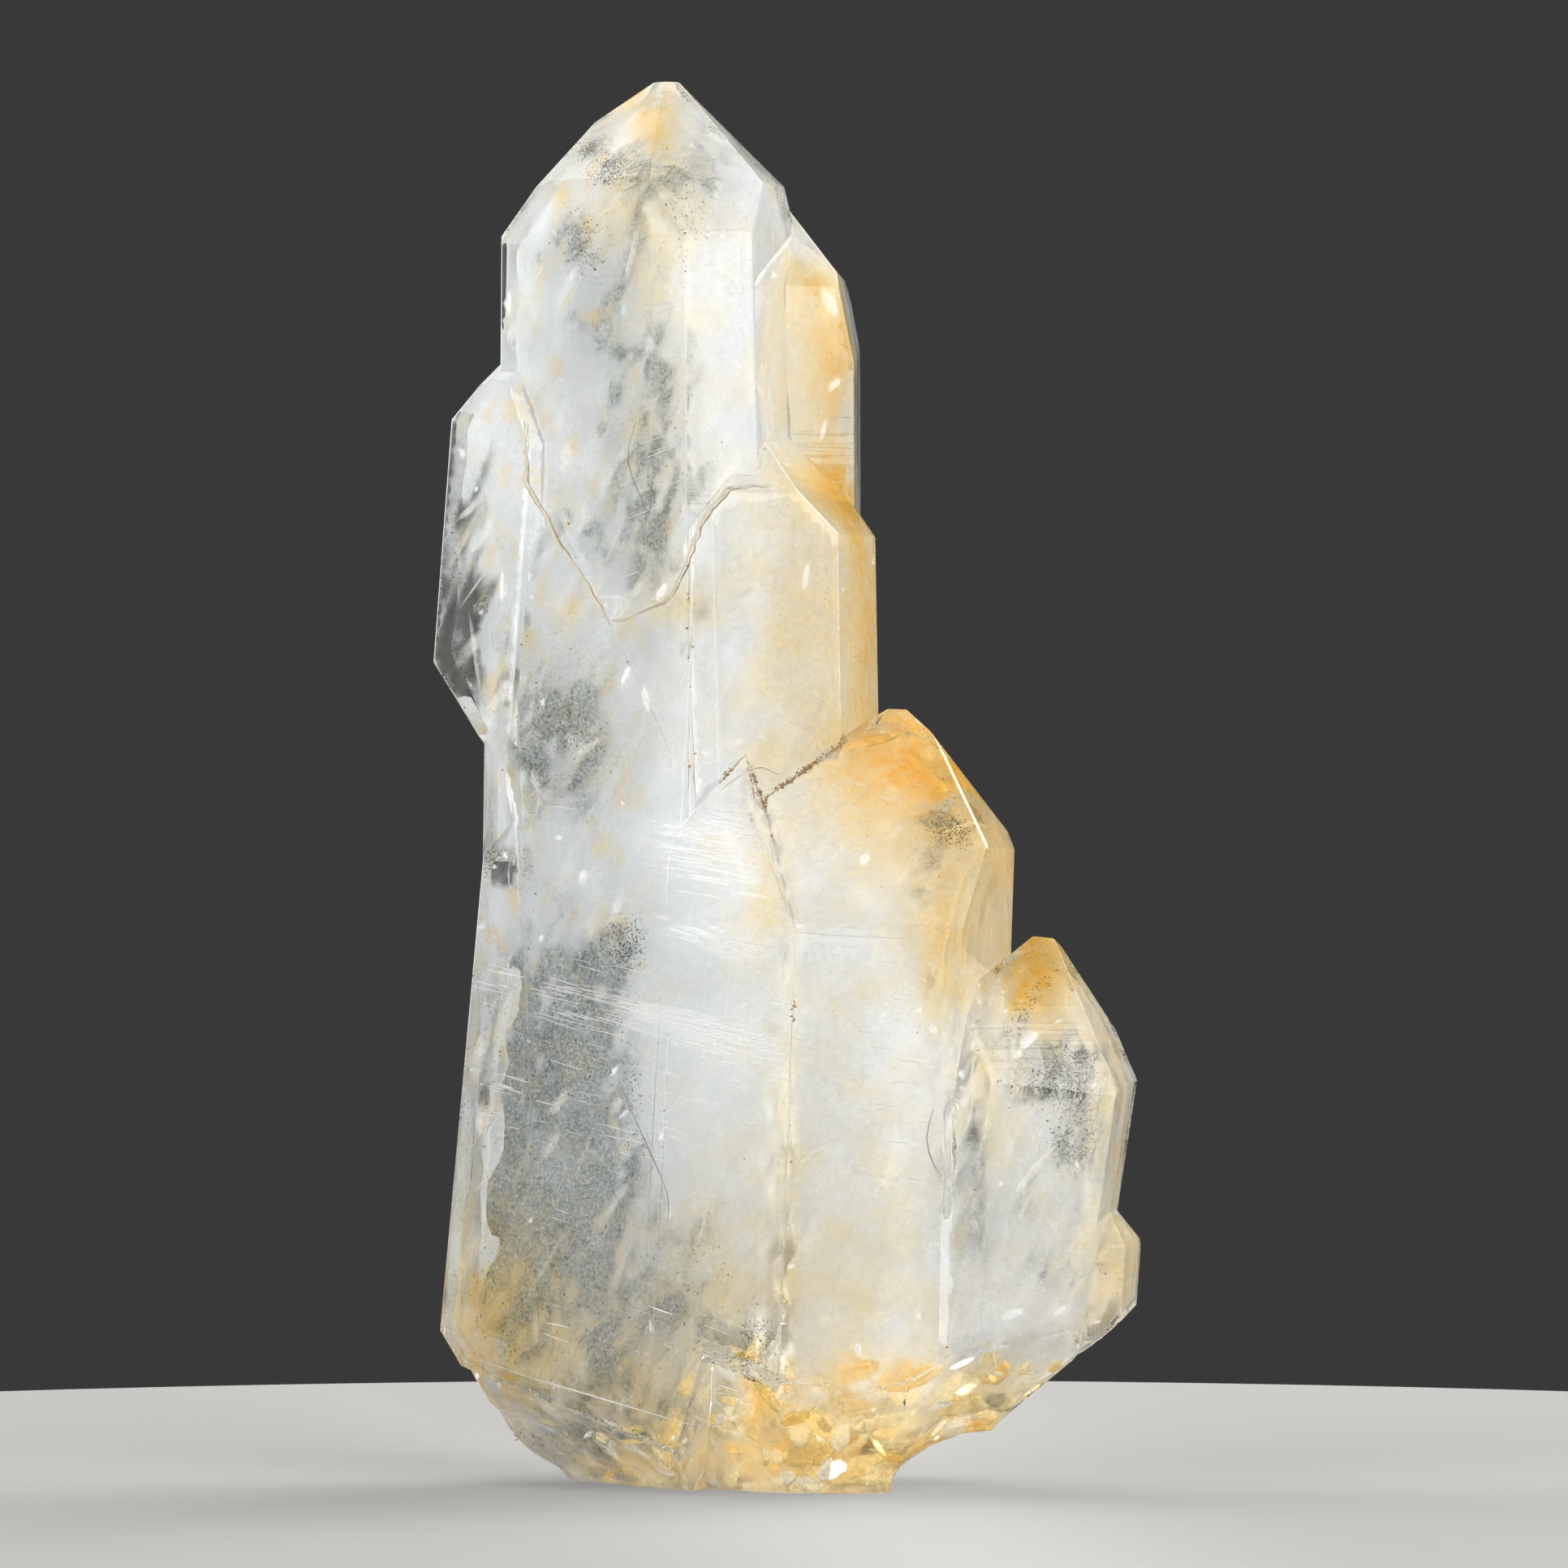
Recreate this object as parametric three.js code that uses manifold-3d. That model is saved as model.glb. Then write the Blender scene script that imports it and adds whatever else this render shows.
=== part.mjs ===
// Quartz crystal cluster: candle-like crystals grown together in one piece, broken off their rock
import * as THREE from "three";
import { mergeVertices } from "three/addons/utils/BufferGeometryUtils.js";
import Module from "manifold-3d";

const wasm = await Module();
wasm.setup();

// Habit of quartz: six prism faces, each under a cap face that lies at this angle to the crystal's long axis
const FACES = 6;
const FACE_STEP = 360 / FACES;
const CAP_ANGLE = 38.2;

// Size of the uncut block that every crystal is cut from, and of the blocks that cut it
const BLOCK = 320;

// Height of the blunt end of the tall spire, and of the flat cut under the cluster
const SPIRE_TOP = 119.7;
const FOOT_LEVEL = 0;

// Every crystal: foot of its axis at height zero, lean to the right and to the back, turn of its front face from
// straight ahead, narrowing of its walls, distance of the six walls from the axis at the foot (left front, front,
// right front, right back, back, left back), and the height where each cap crosses the axis. Some crystals also
// have angles (caps that lie at their own angle), azimuths (walls turned away from the sixty degree step),
// undersides (lower caps by the height where they cross the axis) and chips (flat breaks through a point).
const CRYSTALS = {
  spire: {
    foot: [-9.3, 5.5],
    lean: [-0.7, 0],
    turn: 20,
    narrowing: 1.0,
    walls: [9.2, 13.3, 11.75, 12.2, 12.5, 15.7],
    caps: [120.1, 120.9, 121.6, 121.0, 119.8, 123.0],
    angles: { 2: 42, 5: 40.5 },
    azimuths: { 2: 75 },
  },
  rear_spire: {
    foot: [-3.0, 13.5],
    lean: [0.4, 0.5],
    turn: 26,
    narrowing: 0.6,
    walls: [10.5, 9.5, 9.6, 8.5, 8.0, 10.0],
    caps: [114.0, 113.0, 112.6, 111.0, 112.0, 113.0],
    chips: [{ azimuth: 84, dip: 11, through: [6.45, 14.0, 95.7] }],
  },
  stem: {
    foot: [-17.4, 6.0],
    lean: [3.0, 0],
    turn: 24,
    narrowing: 1.2,
    walls: [8.4, 14.4, 9.0, 10.0, 11.0, 13.7],
    caps: [96.0, 84.0, 88.0, 88.0, 88.0, 90.0],
    angles: { 1: 31 },
    chips: [{ azimuth: -68, dip: 0, through: [-22.4, 2.8, 60.0] }],
  },
  low_stem: {
    foot: [-12.6, 6.0],
    lean: [3.0, 0],
    turn: 24,
    narrowing: 1.2,
    walls: [11.2, 13.4, 9.0, 9.0, 9.0, 9.0],
    caps: [87.3, 92.0, 84.0, 84.0, 84.0, 84.0],
  },
  trunk: {
    foot: [-14.8, 6.0],
    lean: [3.4, 0],
    turn: 24,
    narrowing: 1.7,
    walls: [10.0, 18.5, 13.0, 13.0, 12.5, 15.65],
    caps: [66.6, 66.0, 64.0, 60.0, 60.0, 72.8],
  },
  plate: {
    foot: [-7.5, 0],
    lean: [3.0, 0],
    turn: 24,
    narrowing: 1.0,
    walls: [9.2, 8.0, 12.0, 8.0, 6.0, 5.8],
    caps: [67.9, 65.9, 72.0, 66.0, 66.0, 60.4],
    angles: { 1: 21.7 },
    azimuths: { 1: 85 },
  },
  left_blade: {
    foot: [-31.5, 9.0],
    lean: [4.3, 0],
    turn: 24,
    narrowing: 0,
    walls: [2.5, 6.2, 5.0, 6.0, 5.0, 3.9],
    caps: [97.2, 102.5, 98.0, 98.0, 98.0, 95.9],
    angles: { 1: 25 },
    undersides: { 0: 61.0, 4: 61.0, 5: 65.1 },
  },
  shoulder: {
    foot: [0.5, 4.0],
    lean: [-0.4, 0],
    turn: 20,
    narrowing: 0.6,
    walls: [14.0, 9.0, 7.3, 8.3, 9.0, 12.7],
    caps: [98.2, 94.6, 89.0, 95.0, 95.0, 95.0],
    azimuths: { 2: 72 },
    chips: [{ azimuth: -8, dip: 0, through: [-6.6, -6.8, 70.0] }],
  },
  honey_point: {
    foot: [6.7, -3.0],
    lean: [2.2, 0],
    turn: -12,
    narrowing: 0.3,
    walls: [11.1, 13.2, 11.1, 9.6, 10.0, 8.0],
    caps: [72.0, 64.2, 68.4, 67.9, 68.0, 68.0],
    azimuths: { 2: 70 },
  },
  side_point: {
    foot: [16.8, -8.3],
    lean: [8.9, -8.0],
    turn: 15,
    narrowing: 0.5,
    walls: [9.3, 6.1, 6.6, 7.5, 9.0, 7.0],
    caps: [54.0, 43.3, 44.3, 49.0, 51.0, 52.0],
  },
  side_bud: {
    foot: [25.7, -8.2],
    lean: [4.0, -4.0],
    turn: 15,
    narrowing: 0,
    walls: [4.2, 4.0, 2.2, 3.5, 4.0, 4.0],
    caps: [25.2, 26.5, 24.4, 25.5, 25.5, 25.5],
  },
  rear_point: {
    foot: [1.0, 15.0],
    lean: [-0.5, 2.0],
    turn: 24,
    narrowing: 0.8,
    walls: [7.0, 7.0, 6.5, 7.0, 6.8, 7.5],
    caps: [80.0, 80.0, 79.0, 79.0, 78.0, 80.0],
  },
  rear_right_point: {
    foot: [11.0, 5.0],
    lean: [1.5, 3.0],
    turn: 14,
    narrowing: 0.6,
    walls: [6.5, 6.5, 5.5, 6.0, 6.5, 6.0],
    caps: [53.0, 53.0, 52.0, 52.0, 51.0, 53.0],
  },
  rear_left_point: {
    foot: [-19.0, 14.0],
    lean: [2.5, 2.0],
    turn: 22,
    narrowing: 0.8,
    walls: [7.0, 7.0, 7.5, 7.0, 6.5, 7.0],
    caps: [62.0, 62.0, 61.0, 61.0, 60.0, 62.0],
  },
};

// Broken end of the cluster: planes (azimuth, dip, a point each passes through) and shell-shaped scoops
const BREAKS = [
  { azimuth: -90, dip: -32, through: [-29.0, 0, 12.2] },
  { azimuth: -80, dip: -45, through: [-26.5, 0, 7.6] },
  { azimuth: -65, dip: -52, through: [-22.4, 0, 3.6] },
  { azimuth: -54, dip: -45, through: [-11.0, -8.8, 3.9] },
  { azimuth: -14, dip: -40, through: [-1.0, -15.5, 3.6] },
  { azimuth: 5, dip: -42, through: [8.0, -17.2, 9.6] },
  { azimuth: 24, dip: -42, through: [22.0, -17.2, 15.0] },
  { azimuth: 88, dip: -48.5, through: [23.5, -8.0, 10.4] },
  { azimuth: 150, dip: -42, through: [8.0, 18.0, 7.0] },
  { azimuth: 205, dip: -46, through: [-12.0, 20.0, 8.0] },
];
const SCOOPS = [
  { centre: [17.6, -2.0, -2.6], radii: [9.5, 45.0, 7.9] },
];

// Notch broken out of the foot of the front plate: a box-shaped bite, given by its inner corner
const NOTCH = { corner: [-6.1, -9.6, 11.9], size: 14, tilt: [22, 16, -30] };

// Colour and finish seen in the photo: milky white going to pale honey, glassy faces
const COLOUR = 0xd9d2bd;
const ROUGHNESS = 0.12;

const radians = THREE.MathUtils.degToRad;

// Closed solid from a geometry, and geometry from a closed solid
function solidOf(geometry) {
  const bare = geometry.clone();
  bare.deleteAttribute("normal");
  bare.deleteAttribute("uv");
  const closed = mergeVertices(bare, 1e-5);
  const mesh = new wasm.Mesh({
    numProp: 3,
    vertProperties: new Float32Array(closed.attributes.position.array),
    triVerts: new Uint32Array(closed.index.array),
  });
  return new wasm.Manifold(mesh);
}

function geometryOf(solid) {
  const mesh = solid.getMesh();
  const geometry = new THREE.BufferGeometry();
  geometry.setAttribute("position", new THREE.BufferAttribute(new Float32Array(mesh.vertProperties), 3));
  geometry.setIndex(new THREE.BufferAttribute(new Uint32Array(mesh.triVerts), 1));
  const flat = geometry.toNonIndexed();
  flat.computeVertexNormals();
  return flat;
}

// Direction of a face: azimuth zero looks at the viewer and grows to the right, dip lifts it towards the sky
function facing(azimuth, dip) {
  const a = radians(azimuth);
  const d = radians(dip);
  return new THREE.Vector3(Math.sin(a) * Math.cos(d), -Math.cos(a) * Math.cos(d), Math.sin(d));
}

// Block that takes away everything beyond a plane
function beyond(normal, offset) {
  const block = new THREE.BoxGeometry(BLOCK, BLOCK, BLOCK);
  block.translate(0, 0, BLOCK / 2 + offset);
  block.applyQuaternion(new THREE.Quaternion().setFromUnitVectors(new THREE.Vector3(0, 0, 1), normal));
  return solidOf(block);
}

// Solid with flat pieces broken off: each break is a plane through a point
function broken(solid, breaks) {
  let left = solid;
  for (const { azimuth, dip, through } of breaks) {
    const normal = facing(azimuth, dip);
    left = left.subtract(beyond(normal, normal.dot(new THREE.Vector3(...through))));
  }
  return left;
}

// One crystal: a block cut by its walls, its caps and, on a loose end, the caps under it
function crystal(spec) {
  const angles = spec.angles ?? {};
  const azimuths = spec.azimuths ?? {};
  const undersides = spec.undersides ?? {};
  const cuts = [];
  for (let i = 0; i < FACES; i += 1) {
    const azimuth = azimuths[i] ?? spec.turn + FACE_STEP * (i - 1);
    const narrowing = radians(spec.narrowing);
    cuts.push([facing(azimuth, spec.narrowing), spec.walls[i] * Math.cos(narrowing)]);
    const dip = angles[i] ?? CAP_ANGLE;
    cuts.push([facing(azimuth, dip), spec.caps[i] * Math.sin(radians(dip))]);
    if (undersides[i] !== undefined) {
      cuts.push([facing(azimuth, -CAP_ANGLE), -undersides[i] * Math.sin(radians(CAP_ANGLE))]);
    }
  }
  let solid = solidOf(new THREE.BoxGeometry(BLOCK / 2, BLOCK / 2, BLOCK));
  for (const [normal, offset] of cuts) {
    solid = solid.subtract(beyond(normal, offset));
  }
  const geometry = geometryOf(solid);
  const tilt = new THREE.Euler(-radians(spec.lean[1]), radians(spec.lean[0]), 0);
  geometry.applyMatrix4(new THREE.Matrix4().makeRotationFromEuler(tilt));
  geometry.translate(spec.foot[0], spec.foot[1], 0);
  return broken(solidOf(geometry), spec.chips ?? []);
}

// The crystals grown into one solid
let cluster = null;
for (const spec of Object.values(CRYSTALS)) {
  const grown = crystal(spec);
  cluster = cluster === null ? grown : cluster.add(grown);
}

// Broken end: flat breaks first, then the scooped ones
cluster = broken(cluster, BREAKS);
for (const { centre, radii } of SCOOPS) {
  const scoop = new THREE.SphereGeometry(1, 20, 12);
  scoop.scale(...radii);
  scoop.translate(...centre);
  cluster = cluster.subtract(solidOf(scoop));
}

const bite = new THREE.BoxGeometry(NOTCH.size, NOTCH.size, NOTCH.size);
bite.translate(NOTCH.size / 2, -NOTCH.size / 2, -NOTCH.size / 2);
const biteTilt = new THREE.Euler(...NOTCH.tilt.map(radians), "ZYX");
bite.applyMatrix4(new THREE.Matrix4().makeRotationFromEuler(biteTilt));
bite.translate(...NOTCH.corner);
cluster = cluster.subtract(solidOf(bite));

// Blunt end of the spire, then the flat cut at the foot
cluster = cluster.subtract(beyond(new THREE.Vector3(0, 0, 1), SPIRE_TOP));
cluster = cluster.subtract(beyond(new THREE.Vector3(0, 0, -1), -FOOT_LEVEL));

// Origin under the middle of the cluster, on the flat cut
const geometry = geometryOf(cluster);
geometry.computeBoundingBox();
const middle = geometry.boundingBox.getCenter(new THREE.Vector3());
geometry.translate(-middle.x, -middle.y, -geometry.boundingBox.min.z);

const material = new THREE.MeshStandardMaterial({ color: COLOUR, roughness: ROUGHNESS, metalness: 0 });
const mesh = new THREE.Mesh(geometry, material);
mesh.name = "quartz_cluster";

const part = new THREE.Group();
part.name = "quartz_crystal_cluster";
part.add(mesh);

export default part;
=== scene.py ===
"""Looks of the quartz crystal cluster: clear skin, milky growth veils, stains, cracks and breaks, in a plain studio."""
import logging
import math
from collections.abc import Callable
from dataclasses import dataclass, field
from enum import Enum

import bmesh
import bpy
import numpy as np
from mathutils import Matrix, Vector


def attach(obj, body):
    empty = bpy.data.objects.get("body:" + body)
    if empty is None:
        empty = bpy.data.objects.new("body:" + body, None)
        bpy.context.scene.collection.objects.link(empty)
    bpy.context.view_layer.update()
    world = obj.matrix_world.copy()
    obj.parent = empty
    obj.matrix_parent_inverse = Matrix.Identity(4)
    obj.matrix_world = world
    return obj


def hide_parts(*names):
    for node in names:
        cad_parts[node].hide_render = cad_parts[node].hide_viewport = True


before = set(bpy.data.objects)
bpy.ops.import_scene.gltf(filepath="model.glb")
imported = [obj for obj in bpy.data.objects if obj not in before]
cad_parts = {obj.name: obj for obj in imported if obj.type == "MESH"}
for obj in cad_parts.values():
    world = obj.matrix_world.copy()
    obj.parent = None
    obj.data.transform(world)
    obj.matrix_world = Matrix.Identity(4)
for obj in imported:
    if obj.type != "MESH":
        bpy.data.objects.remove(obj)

LOG = logging.getLogger("quartz_cluster")
MM = 0.001
NODE = "quartz_cluster"
BODY = "root"
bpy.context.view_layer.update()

# Where the crystals' shared growth origin lies in the frame, in millimetres
GROWTH_ORIGIN = np.array([0.09, -1.77, 0.0])
# Degrees between the walls of a quartz prism, and from its axis to its caps
FACE_STEP = 60.0
CAP_ANGLE = 38.2
FAR = 1e3
# Most that corners between crystals fill up where their depths are blended, in millimetres
MOST_FILL = 0.6


def facing(azimuth: np.ndarray, dip: np.ndarray) -> np.ndarray:
    """Direction of a face: azimuth zero looks at the viewer and grows to the right, dip lifts it to the sky."""
    a, d = np.radians(azimuth), np.radians(dip)
    return np.stack([np.sin(a) * np.cos(d), -np.cos(a) * np.cos(d), np.sin(d)], axis=-1)


def smooth_step(low: float, high: float, values: np.ndarray) -> np.ndarray:
    """Zero below the low mark, one above the high mark, and a smooth cubic rise between them."""
    t = np.clip((values - low) / (high - low), 0.0, 1.0)
    return t * t * (3.0 - 2.0 * t)


@dataclass(frozen=True)
class Cut:
    """Flat break: azimuth and dip of its outward side and a point it passes through, in degrees and millimetres."""

    azimuth: float
    dip: float
    through: tuple[float, float, float]

    def plane(self) -> tuple[np.ndarray, float]:
        """Outward normal and distance from the growth origin."""
        normal = facing(np.array(self.azimuth), np.array(self.dip))
        return normal, float(normal @ np.array(self.through))


# Flat cut under the cluster, blunt end of the spire, and the planes of the broken end
BREAKS = (
    Cut(0.0, -90.0, (0.0, 0.0, 0.0)),
    Cut(0.0, 90.0, (0.0, 0.0, 119.7)),
    Cut(-90.0, -32.0, (-29.0, 0.0, 12.2)),
    Cut(-80.0, -45.0, (-26.5, 0.0, 7.6)),
    Cut(-65.0, -52.0, (-22.4, 0.0, 3.6)),
    Cut(-54.0, -45.0, (-11.0, -8.8, 3.9)),
    Cut(-14.0, -40.0, (-1.0, -15.5, 3.6)),
    Cut(5.0, -42.0, (8.0, -17.2, 9.6)),
    Cut(24.0, -42.0, (22.0, -17.2, 15.0)),
    Cut(88.0, -48.5, (23.5, -8.0, 10.4)),
    Cut(150.0, -42.0, (8.0, 18.0, 7.0)),
    Cut(205.0, -46.0, (-12.0, 20.0, 8.0)),
)
SCOOP_CENTRE = np.array([17.6, -2.0, -2.6])
SCOOP_RADII = np.array([9.5, 45.0, 7.9])
NOTCH_CORNER = np.array([-6.1, -9.6, 11.9])
NOTCH_TILT = (22.0, 16.0, -30.0)


@dataclass(frozen=True)
class Habit:
    """Shape of one crystal: six walls and six caps round a leaning axis, in millimetres and degrees."""

    name: str
    foot: tuple[float, float]
    lean: tuple[float, float]
    turn: float
    narrowing: float
    walls: tuple[float, ...]
    caps: tuple[float, ...]
    angles: tuple[tuple[int, float], ...] = ()
    azimuths: tuple[tuple[int, float], ...] = ()
    undersides: tuple[tuple[int, float], ...] = ()
    chips: tuple[Cut, ...] = ()

    def axes(self) -> np.ndarray:
        """Rotation of the leaning crystal, as columns of a matrix.

        Returns:
            Matrix whose columns are the crystal's own axes.
        """
        right, back = np.radians(self.lean)
        about_y = np.array([[math.cos(right), 0, math.sin(right)], [0, 1, 0], [-math.sin(right), 0, math.cos(right)]])
        about_x = np.array([[1, 0, 0], [0, math.cos(back), math.sin(back)], [0, -math.sin(back), math.cos(back)]])
        return about_x @ about_y

    def foot_point(self) -> np.ndarray:
        """Foot of the axis on the level of the flat cut."""
        return np.array([self.foot[0], self.foot[1], 0.0])

    def planes(self) -> tuple[np.ndarray, np.ndarray]:
        """Outward normals and offsets of walls, caps, undersides and breaks, in the crystal's own frame.

        Returns:
            Unit normals, one row for each plane, and their offsets in millimetres.
        """
        azimuth = self.turn + FACE_STEP * (np.arange(6) - 1.0)
        dip = np.full(6, CAP_ANGLE)
        for index, value in self.azimuths:
            azimuth[index] = value
        for index, value in self.angles:
            dip[index] = value
        normals = [facing(azimuth, np.full(6, self.narrowing)), facing(azimuth, dip)]
        offsets = [np.array(self.walls) * math.cos(math.radians(self.narrowing))]
        offsets.append(np.array(self.caps) * np.sin(np.radians(dip)))
        for index, value in self.undersides:
            normals.append(facing(azimuth[index : index + 1], np.full(1, -CAP_ANGLE)))
            offsets.append(np.array([-value * math.sin(math.radians(CAP_ANGLE))]))
        for cut in BREAKS + self.chips:
            normal, offset = cut.plane()
            normals.append((normal @ self.axes())[None])
            offsets.append(np.array([offset - normal @ self.foot_point()]))
        return np.vstack(normals), np.concatenate(offsets)

    def depth(self, points: np.ndarray) -> np.ndarray:
        """How deep points of the growth frame lie in this crystal: the least distance below any plane.

        Args:
            points: Points in millimetres.

        Returns:
            Depths in millimetres, negative outside.
        """
        local = (points - self.foot_point()) @ self.axes()
        depth = np.full(points.shape[:-1], FAR)
        for normal, offset in zip(*self.planes()):
            np.minimum(depth, offset - local @ normal, out=depth)
        return depth


HABITS = (
    Habit("spire", (-9.3, 5.5), (-0.7, 0.0), 20.0, 1.0, (9.2, 13.3, 11.75, 12.2, 12.5, 15.7),
          (120.1, 120.9, 121.6, 121.0, 119.8, 123.0), angles=((2, 42.0), (5, 40.5)), azimuths=((2, 75.0),)),
    Habit("rear_spire", (-3.0, 13.5), (0.4, 0.5), 26.0, 0.6, (10.5, 9.5, 9.6, 8.5, 8.0, 10.0),
          (114.0, 113.0, 112.6, 111.0, 112.0, 113.0), chips=(Cut(84.0, 11.0, (6.45, 14.0, 95.7)),)),
    Habit("stem", (-17.4, 6.0), (3.0, 0.0), 24.0, 1.2, (8.4, 14.4, 9.0, 10.0, 11.0, 13.7),
          (96.0, 84.0, 88.0, 88.0, 88.0, 90.0), angles=((1, 31.0),), chips=(Cut(-68.0, 0.0, (-22.4, 2.8, 60.0)),)),
    Habit("low_stem", (-12.6, 6.0), (3.0, 0.0), 24.0, 1.2, (11.2, 13.4, 9.0, 9.0, 9.0, 9.0),
          (87.3, 92.0, 84.0, 84.0, 84.0, 84.0)),
    Habit("trunk", (-14.8, 6.0), (3.4, 0.0), 24.0, 1.7, (10.0, 18.5, 13.0, 13.0, 12.5, 15.65),
          (66.6, 66.0, 64.0, 60.0, 60.0, 72.8)),
    Habit("plate", (-7.5, 0.0), (3.0, 0.0), 24.0, 1.0, (9.2, 8.0, 12.0, 8.0, 6.0, 5.8),
          (67.9, 65.9, 72.0, 66.0, 66.0, 60.4), angles=((1, 21.7),), azimuths=((1, 85.0),)),
    Habit("left_blade", (-31.5, 9.0), (4.3, 0.0), 24.0, 0.0, (2.5, 6.2, 5.0, 6.0, 5.0, 3.9),
          (97.2, 102.5, 98.0, 98.0, 98.0, 95.9), angles=((1, 25.0),),
          undersides=((0, 61.0), (4, 61.0), (5, 65.1))),
    Habit("shoulder", (0.5, 4.0), (-0.4, 0.0), 20.0, 0.6, (14.0, 9.0, 7.3, 8.3, 9.0, 12.7),
          (98.2, 94.6, 89.0, 95.0, 95.0, 95.0), azimuths=((2, 72.0),), chips=(Cut(-8.0, 0.0, (-6.6, -6.8, 70.0)),)),
    Habit("honey_point", (6.7, -3.0), (2.2, 0.0), -12.0, 0.3, (11.1, 13.2, 11.1, 9.6, 10.0, 8.0),
          (72.0, 64.2, 68.4, 67.9, 68.0, 68.0), azimuths=((2, 70.0),)),
    Habit("side_point", (16.8, -8.3), (8.9, -8.0), 15.0, 0.5, (9.3, 6.1, 6.6, 7.5, 9.0, 7.0),
          (54.0, 43.3, 44.3, 49.0, 51.0, 52.0)),
    Habit("side_bud", (25.7, -8.2), (4.0, -4.0), 15.0, 0.0, (4.2, 4.0, 2.2, 3.5, 4.0, 4.0),
          (25.2, 26.5, 24.4, 25.5, 25.5, 25.5)),
    Habit("rear_point", (1.0, 15.0), (-0.5, 2.0), 24.0, 0.8, (7.0, 7.0, 6.5, 7.0, 6.8, 7.5),
          (80.0, 80.0, 79.0, 79.0, 78.0, 80.0)),
    Habit("rear_right_point", (11.0, 5.0), (1.5, 3.0), 14.0, 0.6, (6.5, 6.5, 5.5, 6.0, 6.5, 6.0),
          (53.0, 53.0, 52.0, 52.0, 51.0, 53.0)),
    Habit("rear_left_point", (-19.0, 14.0), (2.5, 2.0), 22.0, 0.8, (7.0, 7.0, 7.5, 7.0, 6.5, 7.0),
          (62.0, 62.0, 61.0, 61.0, 60.0, 62.0)),
)


def depth_in_cluster(points: np.ndarray, blend: float = 0.0) -> np.ndarray:
    """How deep points lie in the whole cluster: the deepest of all crystals, less the scoop and the notch.

    Args:
        points: Points of the growth frame in millimetres.
        blend: Width over which crystals run into each other, as the logarithm of a sum of exponentials.

    Returns:
        Depths in millimetres, negative outside.
    """
    depth = np.full(points.shape[:-1], -FAR)
    merged = depth.copy()
    for habit in HABITS:
        own = habit.depth(points)
        depth = np.maximum(depth, own)
        if blend > 0.0:
            merged = blend * np.logaddexp(merged / blend, own / blend)
    if blend > 0.0:
        depth = np.minimum(merged, depth + MOST_FILL)
    scoop = (np.linalg.norm((points - SCOOP_CENTRE) / SCOOP_RADII, axis=-1) - 1.0) * SCOOP_RADII[2]
    a, b, c = np.radians(NOTCH_TILT)
    about_x = np.array([[1, 0, 0], [0, math.cos(a), -math.sin(a)], [0, math.sin(a), math.cos(a)]])
    about_y = np.array([[math.cos(b), 0, math.sin(b)], [0, 1, 0], [-math.sin(b), 0, math.cos(b)]])
    about_z = np.array([[math.cos(c), -math.sin(c), 0], [math.sin(c), math.cos(c), 0], [0, 0, 1]])
    local = (points - NOTCH_CORNER) @ (about_z @ about_y @ about_x)
    notch = np.maximum(np.maximum(-local[..., 0], local[..., 1]), local[..., 2])
    return np.minimum(depth, np.minimum(scoop, notch))


class Swirl:
    """Smooth random field: a sum of plane waves with random directions, lengths and phases, spread about zero."""

    def __init__(self, seed: int, length: float, stretch: tuple[float, float, float] = (1.0, 1.0, 1.0),
                 tilt: float = 0.0, waves: int = 26) -> None:
        """Draw the waves.

        Args:
            seed: Seed of the random draws.
            length: Middle wave length in millimetres.
            stretch: Factors by which the field is drawn out along its own three axes.
            tilt: Turn of those axes in the picture plane, in degrees, clockwise from upright.
            waves: Number of waves.
        """
        draw = np.random.default_rng(seed)
        direction = draw.normal(size=(waves, 3))
        direction /= np.linalg.norm(direction, axis=1, keepdims=True)
        lengths = length * np.exp(draw.normal(0.0, 0.4, waves))
        vectors = 2.0 * math.pi * direction / lengths[:, None] / np.array(stretch)
        t = math.radians(tilt)
        self.vectors = vectors @ np.array([[math.cos(t), 0, -math.sin(t)], [0, 1, 0], [math.sin(t), 0, math.cos(t)]])
        self.phases = draw.uniform(0.0, 2.0 * math.pi, waves)

    def at(self, points: np.ndarray) -> np.ndarray:
        """Values of the field at points in millimetres."""
        return np.cos(points @ self.vectors.T + self.phases).sum(axis=-1) * math.sqrt(2.0 / len(self.phases))


@dataclass(frozen=True)
class Patch:
    """Soft oval of the picture plane: middle, half width and half height in millimetres, and its strength there."""

    x: float
    z: float
    half_width: float
    half_height: float
    strength: float
    tilt: float = 0.0

    def at(self, points: np.ndarray) -> np.ndarray:
        """Bell curve of the distance from the middle, measured in half widths and half heights.

        Args:
            points: Points in millimetres.

        Returns:
            Strength at each point.
        """
        t = math.radians(self.tilt)
        dx, dz = points[..., 0] - self.x, points[..., 2] - self.z
        u = (dx * math.cos(t) - dz * math.sin(t)) / self.half_width
        v = (dx * math.sin(t) + dz * math.cos(t)) / self.half_height
        return self.strength * np.exp(-(u * u + v * v))


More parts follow.
